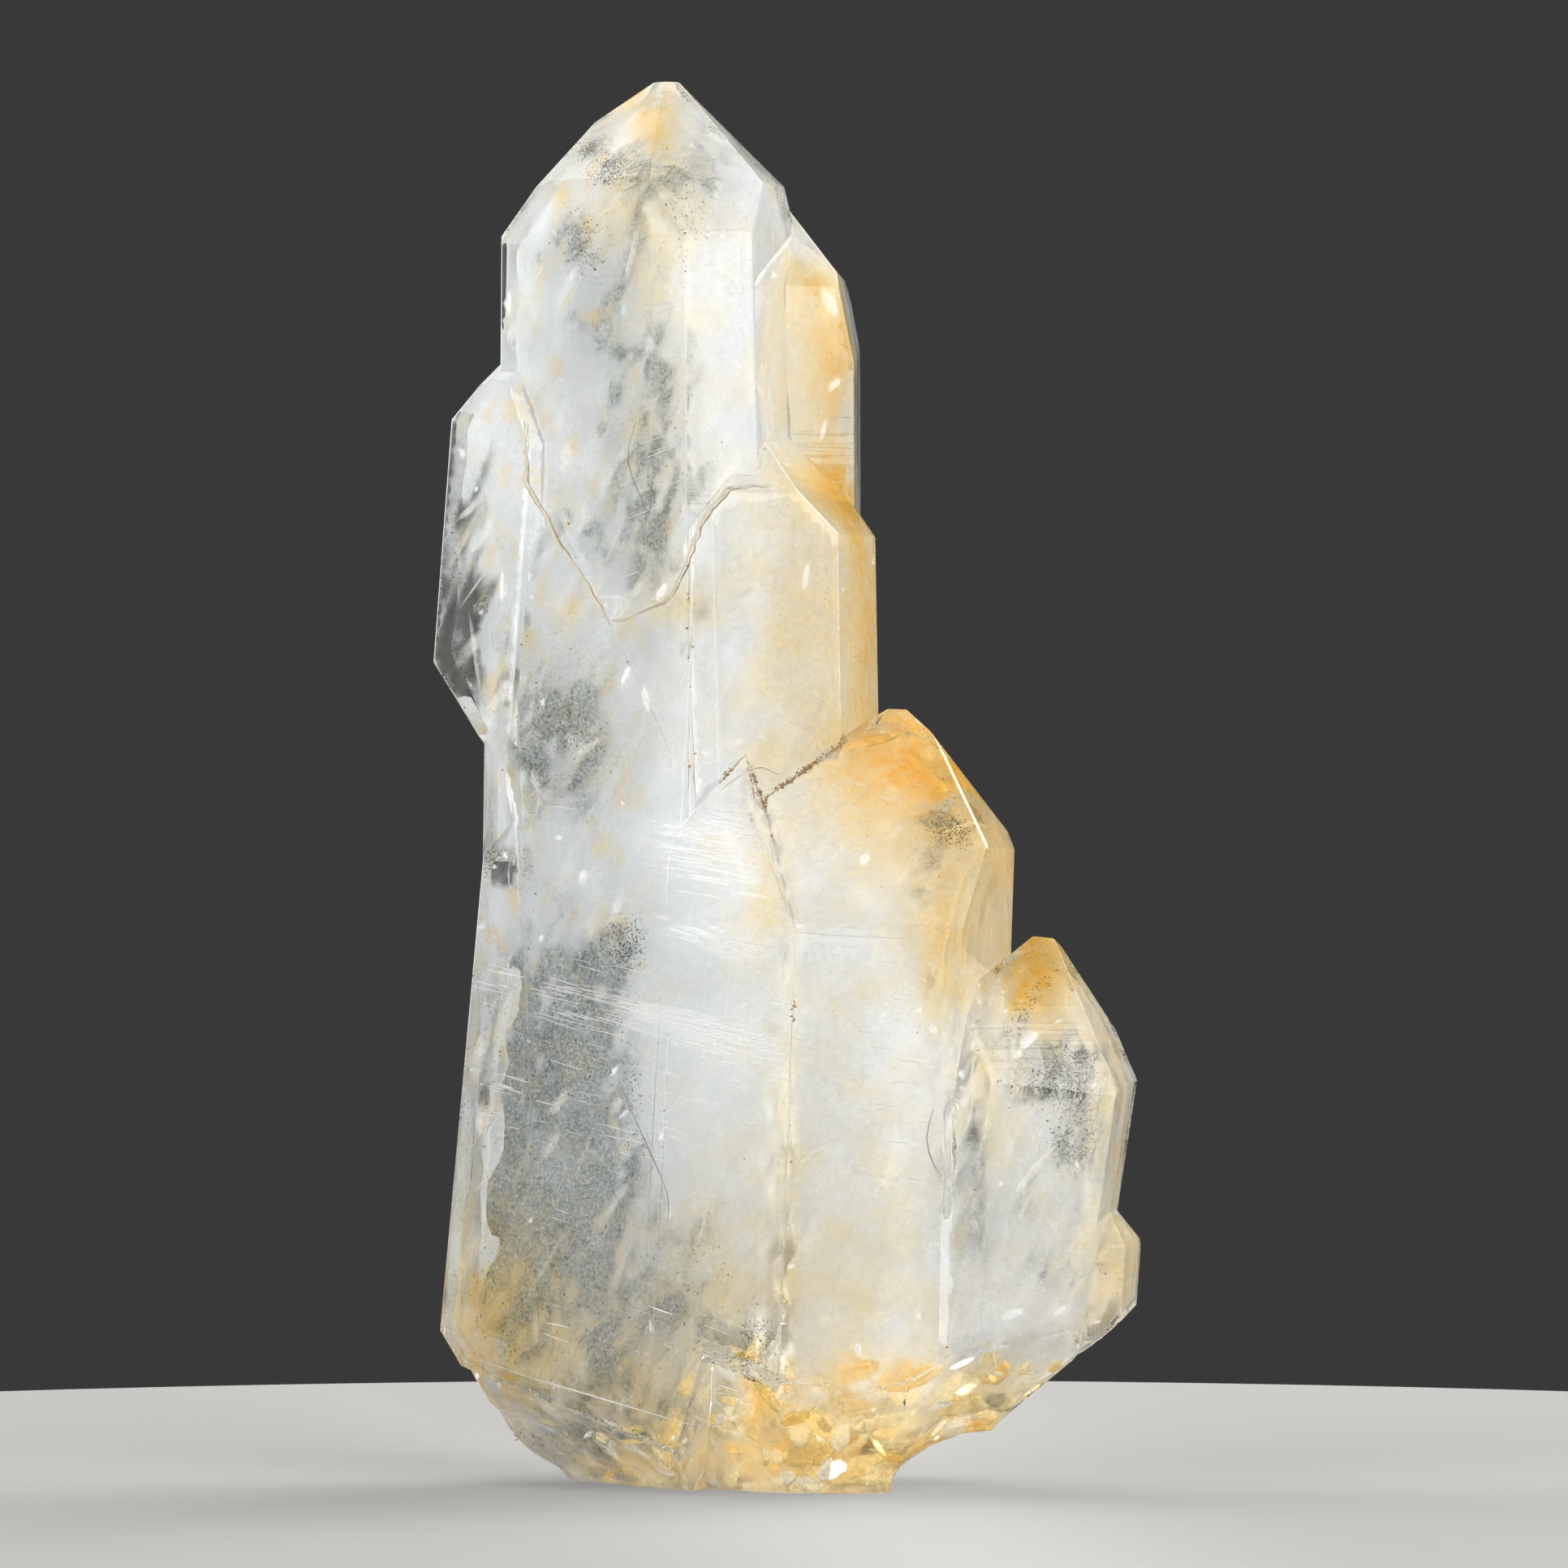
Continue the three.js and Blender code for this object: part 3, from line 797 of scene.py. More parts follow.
@dataclass(frozen=True)
class VeilFinish:
    """Milky veil: white to honey film that scatters light both ways and thins out to nothing, darkened to a blue-grey
    painted shade where the quartz is clear.
    """

    translucency: float = 0.45

    def material(self, effects: Effects) -> bpy.types.Material:
        """Node material of the veils.

        Args:
            effects: Shared node groups.

        Returns:
            The material.
        """
        material, wiring, surface = bare_material("milky_veil")
        mottle = wiring.group(effects.grain, Scale=1900.0, Low=0.75, High=1.25).outputs["Mask"]
        grit = wiring.group(effects.grain, Scale=3600.0, Low=0.15, High=1.85).outputs["Mask"]
        blotch = wiring.group(effects.grain, Scale=800.0, Low=0.7, High=1.3).outputs["Mask"]
        amount = wiring.math("MULTIPLY", wiring.attribute("honey"), blotch)
        stain = wiring.group(effects.stain, Amount=amount, Pale=(0.88, 0.905, 0.92, 1.0),
                             Middle=(0.94, 0.83, 0.59, 1.0), Deep=(0.95, 0.6, 0.1, 1.0)).outputs["Colour"]
        # Painted shade: the veil's colour goes towards a dark blue-grey in the clear windows, where the quartz looks
        # dark
        painted_shade = wiring.math("MULTIPLY", wiring.attribute("painted_shade"), grit)
        stain = wiring.blend(wiring.math("ADD", painted_shade, 0.0), stain, (0.1, 0.145, 0.15, 1.0))
        haze = wiring.attribute("haze")
        front = wiring.add("ShaderNodeBsdfPrincipled")
        front.inputs["Roughness"].default_value = 0.9
        front.inputs["Specular IOR Level"].default_value = 0.0
        wiring.feed(stain, front.inputs["Base Color"])
        wiring.feed(wiring.math("ADD", wiring.math("MULTIPLY", haze, mottle), 0.0), front.inputs["Alpha"])
        clear = wiring.add("ShaderNodeBsdfTransparent")
        through = wiring.add("ShaderNodeBsdfTranslucent")
        wiring.feed(stain, through.inputs["Color"])
        behind = wiring.add("ShaderNodeMixShader")
        wiring.feed(haze, behind.inputs["Fac"])
        wiring.feed(clear.outputs[0], behind.inputs[1])
        wiring.feed(through.outputs[0], behind.inputs[2])
        body = wiring.add("ShaderNodeMixShader")
        body.inputs["Fac"].default_value = self.translucency
        wiring.feed(front.outputs[0], body.inputs[1])
        wiring.feed(behind.outputs[0], body.inputs[2])
        wiring.feed(body.outputs[0], surface)
        return material


def points_of(mesh: bpy.types.Mesh) -> tuple[np.ndarray, np.ndarray]:
    """Vertices of a mesh in millimetres of the growth frame, and their normals.

    Args:
        mesh: Mesh in metres in the shared frame.

    Returns:
        Points and normals.
    """
    place = np.empty(len(mesh.vertices) * 3, dtype=np.float32)
    mesh.vertices.foreach_get("co", place)
    normals = np.empty(len(mesh.vertices) * 3, dtype=np.float32)
    mesh.vertices.foreach_get("normal", normals)
    return place.reshape(-1, 3).astype(float) / MM - GROWTH_ORIGIN, normals.reshape(-1, 3).astype(float)


# Broken end: number and depth of its facets, and where its shell ripples start, how long and how deep they are
FACET_WAVES = 7
FACET_DEPTH = 1.5
SHELL_DEPTH = 0.14
SHELL_REACH = 14.0
SHELL_CENTRES = np.array([[-30.0, -2.0, 16.0], [-14.0, -14.0, 8.0], [4.0, -22.0, 12.0],
                          [22.0, -20.0, 20.0], [26.0, 0.0, 14.0], [0.0, 26.0, 12.0]])
SHELL_LENGTHS = np.array([3.1, 2.7, 3.4, 2.9, 3.0, 3.3])


def break_relief(points: np.ndarray, normals: np.ndarray) -> tuple[np.ndarray, np.ndarray]:
    """Hackly facets and shell ripples of the broken end, where faces look down.

    The facets are a sum of triangle waves in random directions, so they are flat between sharp creases. The ripples
    are sines of the distance from a few centres.

    Args:
        points: Points in millimetres.
        normals: Outward normals.

    Returns:
        How broken each place is, from zero to one, and how deep it is sunk in millimetres.
    """
    broken = smooth_step(0.3, 0.55, -normals[:, 2]) * smooth_step(0.1, 1.2, points[:, 2])
    broken = broken * (1.0 - smooth_step(24.0, 30.0, points[:, 2]))
    draw = np.random.default_rng(21)
    direction = unit(draw.normal(size=(FACET_WAVES, 3)))
    length = draw.uniform(3.2, 8.5, FACET_WAVES)
    wave = (points @ direction.T / length + draw.uniform(0.0, 1.0, FACET_WAVES)) % 1.0
    facets = np.abs(2.0 * wave - 1.0).mean(axis=1)
    reach = np.linalg.norm(points[:, None] - SHELL_CENTRES[None], axis=2)
    ripples = np.sin(2.0 * math.pi * reach / SHELL_LENGTHS) * np.exp(-reach / SHELL_REACH)
    shells = smooth_step(-1.0, 1.0, ripples.sum(axis=1))
    return broken, broken * (FACET_DEPTH * np.clip(facets - 0.2, 0.0, 0.6) + SHELL_DEPTH * shells)


def no_seams() -> np.ndarray:
    """Empty list of seams, as pairs of points."""
    return np.zeros((0, 2, 3))


def no_sides() -> np.ndarray:
    """Empty list of directions."""
    return np.zeros((0, 3))


@dataclass
class CrystalSkin:
    """Outside of the cluster: the solid's own faces with worn edges, fine enough to carry stain and relief."""

    merge: float = 0.3
    worn_edge: float = 0.1
    spacing: float = 1.3
    break_spacing: float = 0.55
    sharp_angle: float = 12.0
    worn_bends: tuple[float, float] = (10.0, 80.0)
    seam_bend: float = 6.0
    coarse_steps: tuple[float, ...] = (16.0, 8.0, 4.0, 2.4)
    seams: np.ndarray = field(default_factory=no_seams)
    seam_sides: np.ndarray = field(default_factory=no_sides)

    def build(self, growth: Growth, effects: Effects) -> bpy.types.Object:
        """Copy the solid, join its loose triangles, round its edges, refine it and dress it.

        Args:
            growth: Milk and stain of the quartz.
            effects: Shared node groups.

        Returns:
            The skin, standing for the solid.
        """
        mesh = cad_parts[NODE].data.copy()
        mesh.name = "crystal_skin"
        skin = bmesh.new()
        skin.from_mesh(mesh)
        bmesh.ops.remove_doubles(skin, verts=skin.verts, dist=0.002 * MM)
        bmesh.ops.dissolve_limit(skin, angle_limit=math.radians(0.25), verts=skin.verts, edges=skin.edges)
        bmesh.ops.remove_doubles(skin, verts=skin.verts, dist=self.merge * MM)
        self.keep_seams(skin)
        least, most = self.worn_bends
        edges = [e for e in skin.edges
                 if e.is_manifold and e.is_convex and least < math.degrees(e.calc_face_angle(0.0)) < most]
        bmesh.ops.bevel(skin, geom=edges, offset=self.worn_edge * MM, segments=2, profile=0.5, affect="EDGES",
                        clamp_overlap=False)
        bmesh.ops.triangulate(skin, faces=skin.faces)
        for length in self.coarse_steps + (self.spacing,):
            long_edges = [e for e in skin.edges if e.calc_length() > length * MM]
            bmesh.ops.subdivide_edges(skin, edges=long_edges, cuts=1, use_grid_fill=False)
            bmesh.ops.triangulate(skin, faces=skin.faces)
        for length in (0.8, self.break_spacing):
            long_edges = [e for e in skin.edges
                          if e.calc_length() > length * MM and any(self.broken(f) for f in e.link_faces)]
            bmesh.ops.subdivide_edges(skin, edges=long_edges, cuts=1, use_grid_fill=False)
            bmesh.ops.triangulate(skin, faces=skin.faces)
            skin.normal_update()
        bmesh.ops.recalc_face_normals(skin, faces=skin.faces)
        skin.to_mesh(mesh)
        skin.free()
        self.relief(mesh, growth)
        mesh.polygons.foreach_set("use_smooth", np.ones(len(mesh.polygons), dtype=bool))
        mesh.set_sharp_from_angle(angle=math.radians(self.sharp_angle))
        piece = new_object("crystal_skin", mesh, QuartzFinish().material(effects))
        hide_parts(NODE)
        return piece

    @staticmethod
    def broken(face: bmesh.types.BMFace) -> bool:
        """Whether a face looks down and lies in the broken foot, above the flat cut."""
        return face.normal.z < -0.2 and 0.05 * MM < face.calc_center_median().z < 30.0 * MM

    def keep_seams(self, skin: bmesh.types.BMesh) -> None:
        """Note the inward corners where crystals meet, as pairs of points with the direction between their faces.

        Args:
            skin: Joined solid before its edges are worn.
        """
        inward = [e for e in skin.edges
                  if e.is_manifold and not e.is_convex and e.calc_face_angle(0.0) > math.radians(self.seam_bend)]
        ends = np.array([[v.co[:] for v in e.verts] for e in inward])
        sides = np.array([(e.link_faces[0].normal + e.link_faces[1].normal).normalized()[:] for e in inward])
        self.seams = ends / MM - GROWTH_ORIGIN
        self.seam_sides = sides

    def relief(self, mesh: bpy.types.Mesh, growth: Growth) -> None:
        """Sink the breaks into facets and store stain and frost.

        Args:
            mesh: Refined skin.
            growth: Milk and stain of the quartz.
        """
        points, normals = points_of(mesh)
        broken, depth = break_relief(points, normals)
        points = points - normals * depth[:, None]
        mesh.vertices.foreach_set("co", ((points + GROWTH_ORIGIN) * MM).astype(np.float32).ravel())
        mesh.update()
        sawn = 1.0 - smooth_step(0.02, 0.1, points[:, 2])
        add_values(mesh, "honey", growth.honey(points))
        add_values(mesh, "frost", np.clip(0.12 * broken + sawn, 0.0, 1.0))


class DepthGrid:
    """Depth below the skin on a regular grid of points, from which closed level surfaces are cut."""

    def __init__(self, step: float = 0.65) -> None:
        """Measure the depth at every point of the grid.

        Args:
            step: Spacing of the grid in millimetres.
        """
        self.step = step
        self.low = np.array([-31.0, -21.6, -1.1])
        high = np.array([31.0, 25.2, 121.0])
        steps = [np.arange(a, b, step) for a, b in zip(self.low, high)]
        self.points = np.stack(np.meshgrid(*steps, indexing="ij"), axis=-1)
        self.depths = depth_in_cluster(self.points, 1.3)

    def level(self, depth: float, crumple: np.ndarray) -> tuple[np.ndarray, np.ndarray]:
        """Closed surface at one depth below the skin.

        Every cell that the level crosses holds one point, the mean of the crossings on its twelve edges. The four
        points round each crossed grid edge make a quad that faces outwards.

        Args:
            depth: Depth of the surface in millimetres.
            crumple: Change of the depth at every grid point in millimetres.

        Returns:
            Points of the growth frame, and quads.
        """
        values = self.depths + crumple - depth
        cells = tuple(n - 1 for n in values.shape)
        total, count = np.zeros(cells + (3,)), np.zeros(cells)
        crossings = []
        for axis in range(3):
            others = ((axis + 1) % 3, (axis + 2) % 3)
            before = np.take(values, np.arange(cells[axis]), axis)
            after = np.take(values, np.arange(1, cells[axis] + 1), axis)
            crossed = (before > 0.0) != (after > 0.0)
            share = np.where(crossed, before / np.where(crossed, before - after, 1.0), 0.0)
            crossings.append((crossed, before > 0.0, others))
            for first, second in ((0, 0), (0, 1), (1, 0), (1, 1)):
                part = [slice(None)] * 3
                part[others[0]] = slice(first, first + cells[others[0]])
                part[others[1]] = slice(second, second + cells[others[1]])
                here = crossed[tuple(part)]
                count += here
                total[..., axis] += share[tuple(part)]
                total[..., others[0]] += here * first
                total[..., others[1]] += here * second
        active = count > 0
        number = np.cumsum(active.ravel()).reshape(cells) - 1
        points = self.low + self.step * (np.argwhere(active) + total[active] / count[active][:, None])
        quads = []
        for crossed, filled, others in crossings:
            edge = np.argwhere(crossed)
            corners = []
            for first, second in ((1, 1), (0, 1), (0, 0), (1, 0)):
                cell = edge.copy()
                cell[:, others[0]] -= first
                cell[:, others[1]] -= second
                corners.append(number[tuple(cell.T)])
            quad = np.stack(corners, axis=1)
            outwards = filled[tuple(edge.T)]
            quads.append(np.where(outwards[:, None], quad, quad[:, ::-1]))
        return points, np.concatenate(quads)


NO_TRIANGLES = np.zeros((0, 3), dtype=int)


@dataclass
class Veils:
    """Milky growth veils: closed sheets that follow the skin at three depths, darkened with painted shade where the
    milk is thin.
    """

    depths: tuple[float, ...] = (0.75, 2.1, 5.0)
    crumples: tuple[float, ...] = (0.05, 0.2, 0.6)
    sinking: tuple[float, ...] = (1.0, 0.8, 0.0)
    painted_window_shade: float = 0.62

    def build(self, grid: DepthGrid, growth: Growth, effects: Effects) -> list[bpy.types.Object]:
        """Make the outer, inner and deep veil.

        Args:
            grid: Depths below the skin.
            growth: Milk and stain of the quartz.
            effects: Shared node groups.

        Returns:
            The pieces.
        """
        material = VeilFinish().material(effects)
        pieces = []
        for number, name in enumerate(("outer_veil", "inner_veil", "deep_veil")):
            crumple = np.zeros(grid.depths.shape)
            near = np.abs(grid.depths - self.depths[number]) < 2.0 + 2.0 * self.crumples[number]
            crumple[near] = self.crumples[number] * Swirl(100 + number, 7.0, waves=14).at(grid.points[near])
            points, quads = grid.level(self.depths[number], np.clip(crumple, -9.0, 0.7 * self.depths[number]))
            mesh = mesh_from(name, points, quads, NO_TRIANGLES)
            points, normals = points_of(mesh)
            sunk = break_relief(points, normals)[1] * self.sinking[number]
            points = points - normals * sunk[:, None]
            mesh.vertices.foreach_set("co", ((points + GROWTH_ORIGIN) * MM).astype(np.float32).ravel())
            mesh.update()
            milk = growth.milk(points)
            add_values(mesh, "haze", self.haze(number, milk))
            # Painted shade in the clear windows, stronger where the milk is thin
            add_values(mesh, "painted_shade", self.painted_window_shade * (1.0 - smooth_step(0.05, 0.6, milk)))
            add_values(mesh, "honey", growth.honey(points))
            piece = new_object(name, mesh, material)
            piece.visible_shadow = number == 2
            pieces.append(piece)
        return pieces

    @staticmethod
    def haze(number: int, milk: np.ndarray) -> np.ndarray:
        """How much of the light a veil stops, from its milkiness: the deeper veils stay hazy in clear windows.

        Args:
            number: Veil, counted from outside.
            milk: Milkiness at each point.

        Returns:
            Haze at each point.
        """
        if number == 0:
            return 0.8 * smooth_step(0.28, 0.9, milk)
        if number == 1:
            return 0.08 + 1.2 * smooth_step(0.2, 0.75, milk)
        return 0.55 + 0.8 * smooth_step(0.0, 0.6, milk)


def front_points(x: np.ndarray, z: np.ndarray) -> np.ndarray:
    """Points of the skin that the viewer sees: along each line of sight, the first change from outside to inside.

    Args:
        x: Places to the right in millimetres.
        z: Heights in millimetres.

    Returns:
        Points of the growth frame, one row for each pair.
    """
    y = np.linspace(-22.0, 24.0, 231)
    line = np.stack(np.broadcast_arrays(x[:, None], y[None], z[:, None]), axis=-1)
    depth = depth_in_cluster(line)
    first = np.maximum(np.argmax(depth > 0.0, axis=1), 1)
    row = np.arange(len(x))
    before, after = depth[row, first - 1], depth[row, first]
    share = np.clip(before / np.minimum(before - after, -1e-6), 0.0, 1.0)
    return np.stack([x, y[first - 1] + share * (y[1] - y[0]), z], axis=1)


def unit(vectors: np.ndarray) -> np.ndarray:
    """Vectors scaled to length one."""
    return vectors / np.maximum(np.linalg.norm(vectors, axis=-1, keepdims=True), 1e-9)


@dataclass(frozen=True)
class SolidFinish:
    """Opaque grains and lines: a colour held by the mesh, slightly mottled, and an optional white glow that is painted
    glint light.
    """

    name: str
    roughness: float
    mottling: float = 0.35
    painted_glow: float = 0.0

    def material(self, effects: Effects) -> bpy.types.Material:
        """Node material that reads the mesh's own tint.

        Args:
            effects: Shared node groups.

        Returns:
            The material.
        """
        material, wiring, surface = bare_material(self.name)
        shader = wiring.add("ShaderNodeBsdfPrincipled")
        mottle = wiring.group(effects.grain, Scale=1500.0, Low=0.0, High=self.mottling).outputs["Mask"]
        tint = wiring.attribute("tint", "Color")
        wiring.feed(wiring.blend(mottle, tint, (0.5, 0.45, 0.36, 1.0)), shader.inputs["Base Color"])
        wiring.feed(wiring.math("ADD", mottle, self.roughness), shader.inputs["Roughness"])
        # White emission: a painted glow that stands in for glints, not a lamp
        shader.inputs["Emission Color"].default_value = (1.0, 1.0, 1.0, 1.0)
        shader.inputs["Emission Strength"].default_value = self.painted_glow
        wiring.feed(shader.outputs[0], surface)
        return material


@dataclass(frozen=True)
class FilmFinish:
    """Thin film in a healed crack: the mesh's own tint and haze, glossy or dull, and an optional white glow that is
    painted glint light.
    """

    name: str
    roughness: float
    painted_glow: float

    def material(self, effects: Effects) -> bpy.types.Material:
        """Node material of a film that thins out towards its rim.

        Args:
            effects: Shared node groups.

        Returns:
            The material.
        """
        material, wiring, surface = bare_material(self.name)
        shader = wiring.add("ShaderNodeBsdfPrincipled")
        # White emission: a painted glow that stands in for glints, not a lamp
        shader.inputs["Emission Color"].default_value = (1.0, 1.0, 1.0, 1.0)
        shader.inputs["Emission Strength"].default_value = self.painted_glow
        wiring.feed(wiring.attribute("tint", "Color"), shader.inputs["Base Color"])
        rough = wiring.group(effects.grain, Scale=1800.0, Low=self.roughness * 0.6, High=self.roughness * 1.6)
        wiring.feed(rough.outputs["Mask"], shader.inputs["Roughness"])
        mottle = wiring.group(effects.grain, Scale=1300.0, Low=0.5, High=1.3).outputs["Mask"]
        haze = wiring.math("MULTIPLY", wiring.attribute("haze"), mottle)
        wiring.feed(wiring.math("ADD", haze, 0.0), shader.inputs["Alpha"])
        wiring.feed(shader.outputs[0], surface)
        return material


@dataclass
class FilmSet:
    """Lens-shaped films: middles, two axes in the film, half sizes, outline and tint of each."""

    centres: np.ndarray
    longways: np.ndarray
    across: np.ndarray
    halves: np.ndarray
    tints: np.ndarray
    strengths: np.ndarray
    corners: np.ndarray
    bulge: float = 0.12
    thickness: float = 0.02
    fading: float = 1.5
    cover: float = 0.12
    points_round: int = 10

    def meshes(self) -> tuple[np.ndarray, np.ndarray, np.ndarray, np.ndarray, np.ndarray]:
        """Closed lenses: rings of a polygon-like outline from the middle over the rim and back below.

        Returns:
            Points, quads, triangles, and the haze and tint of every point; lenses that reach the skin are left out.
        """
        reach = np.array([0.55, 1.0, 0.55])
        side = np.array([1.0, 0.0, -1.0])
        turn = np.linspace(0.0, 2.0 * math.pi, self.points_round, endpoint=False)
        normal = unit(np.cross(self.longways, self.across))
        edge = np.cos(turn[None, None] - self.corners[:, :, None])
        outline = 1.0 / np.maximum(edge.max(axis=1), 0.35)
        outline = np.minimum(outline, 1.35)
        u = (np.cos(turn)[None] * outline * self.halves[:, :1])[:, None, :, None]
        v = (np.sin(turn)[None] * outline * self.halves[:, 1:])[:, None, :, None]
        lift = self.bulge * self.halves[:, :1, None] + side[None, :, None] * self.thickness
        lift = lift * (1.0 - reach**2)[None, :, None]
        flat = u * self.longways[:, None, None] + v * self.across[:, None, None]
        rings = self.centres[:, None, None] + reach[None, :, None, None] * flat
        rings = rings + lift[..., None] * normal[:, None, None]
        crown = self.centres + normal * (self.bulge * self.halves[:, :1] + self.thickness)
        floor = self.centres + normal * (self.bulge * self.halves[:, :1] - self.thickness)
        kept = depth_in_cluster(rings.reshape(len(rings), -1, 3)).min(axis=1) > self.cover
        points, quads, triangles = closed_surfaces(rings[kept], crown[kept], floor[kept])
        haze = self.strengths[:, None, None] * ((1.0 - 0.99 * reach**2) ** self.fading)[None, :, None]
        haze = haze * np.ones(len(turn))
        ends = np.repeat(self.strengths[:, None], 2, axis=1)
        haze = np.concatenate([haze.reshape(len(rings), -1), ends], axis=1)[kept]
        tints = np.repeat(self.tints[kept], haze.shape[1], axis=0)
        return points, quads, triangles, haze.ravel(), tints


def under_face(table: np.ndarray) -> tuple[np.ndarray, np.ndarray, np.ndarray]:
    """Middles and two axes of films that lie under the front faces and parallel to them.

    The face's direction is the downhill slope of the depth, taken by small steps.

    Args:
        table: Rows of place to the right, height, depth, half length, half width and turn from upright.

    Returns:
        Middles, long axes and cross axes.
    """
    spot = front_points(table[:, 0], table[:, 1])
    inside = spot + np.array([0.0, 0.2, 0.0])
    steps = np.eye(3) * 0.05
    slope = np.stack([depth_in_cluster(inside + step) - depth_in_cluster(inside - step) for step in steps], axis=1)
    outward = -unit(slope)
    lean = np.radians(table[:, 5])
    picture = np.stack([np.sin(lean), np.zeros(len(lean)), np.cos(lean)], axis=1)
    longways = unit(picture - (picture * outward).sum(axis=1, keepdims=True) * outward)
    return spot - outward * table[:, 2:3], longways, np.cross(outward, longways)


class FilmKind(Enum):
    """Kinds of films sealed in the quartz."""

    WISP = "milky_wisps"
    GOLD = "golden_fractures"
    SILVER = "cracks_with_painted_glints"


# Bright cracks seen from the front, partly real cracks and partly painted glints and highlights: place to the right,
# height, depth, half length, half width, turn from upright
GLINTS = (
    (-19.1, 87.7, 1.2, 2.2, 0.9, 20.0), (-10.6, 76.0, 0.5, 1.5, 0.6, 45.0), (6.7, 53.6, 0.6, 0.9, 0.5, 0.0),
    (-24.0, 101.0, 1.0, 1.5, 0.5, 0.0), (1.9, 77.4, 0.5, 1.6, 0.35, 10.0), (-12.0, 67.0, 0.5, 1.6, 0.5, -20.0),
    (-6.9, 62.3, 0.4, 0.5, 0.25, -70.0), (15.2, 11.0, 0.7, 1.6, 0.5, 60.0), (17.6, 12.3, 0.6, 1.0, 0.4, 40.0),
    (6.0, 12.5, 0.6, 0.7, 0.4, 0.0), (-19.0, 110.9, 0.6, 2.2, 0.5, 80.0), (-17.4, 51.8, 0.6, 1.0, 0.6, 10.0),
    (-13.8, 69.0, 1.0, 1.4, 0.4, 30.0), (-24.6, 76.6, 1.2, 2.4, 0.3, 0.0), (-20.9, 46.6, 0.6, 0.5, 0.4, 0.0),
    (19.0, 15.4, 0.5, 1.2, 0.5, 70.0), (23.0, 15.6, 0.5, 1.0, 0.4, 50.0), (20.4, 38.6, 0.8, 1.5, 0.7, 40.0),
    (4.0, 101.0, 0.5, 2.2, 0.7, -30.0), (5.4, 97.6, 0.5, 1.6, 0.5, -25.0), (4.9, 99.2, 0.6, 1.2, 0.8, 10.0),
    (5.7, 95.2, 0.5, 1.4, 0.5, -60.0), (4.4, 94.0, 0.5, 1.0, 0.5, 40.0), (3.4, 90.0, 0.5, 1.4, 0.3, 15.0),
    (-14.3, 99.9, 1.6, 0.7, 0.35, 20.0),
)


# Stained cracks seen from the front, laid out as the bright ones
STREAKS = (
    (-11.2, 116.0, 0.5, 1.3, 0.5, 6.0), (-3.6, 111.6, 0.5, 3.6, 0.5, -36.0),
    (-2.2, 9.0, 0.5, 2.6, 0.6, -36.0), (7.0, 63.4, 0.5, 2.6, 0.5, 80.0), (12.6, 62.4, 0.5, 2.6, 0.5, -40.0),
    (15.0, 50.0, 0.6, 2.6, 0.4, 10.0), (19.4, 41.4, 0.4, 0.7, 0.4, 35.0),
    (4.6, 5.2, 0.5, 2.0, 0.3, 40.0), (7.6, 4.2, 0.5, 1.6, 0.3, -20.0), (11.0, 6.4, 0.5, 2.4, 0.4, 62.0),
    (2.0, 3.0, 0.5, 1.8, 0.4, 70.0), (0.6, 6.4, 0.5, 1.6, 0.5, 60.0), (9.4, 2.8, 0.5, 1.4, 0.4, -50.0),
)


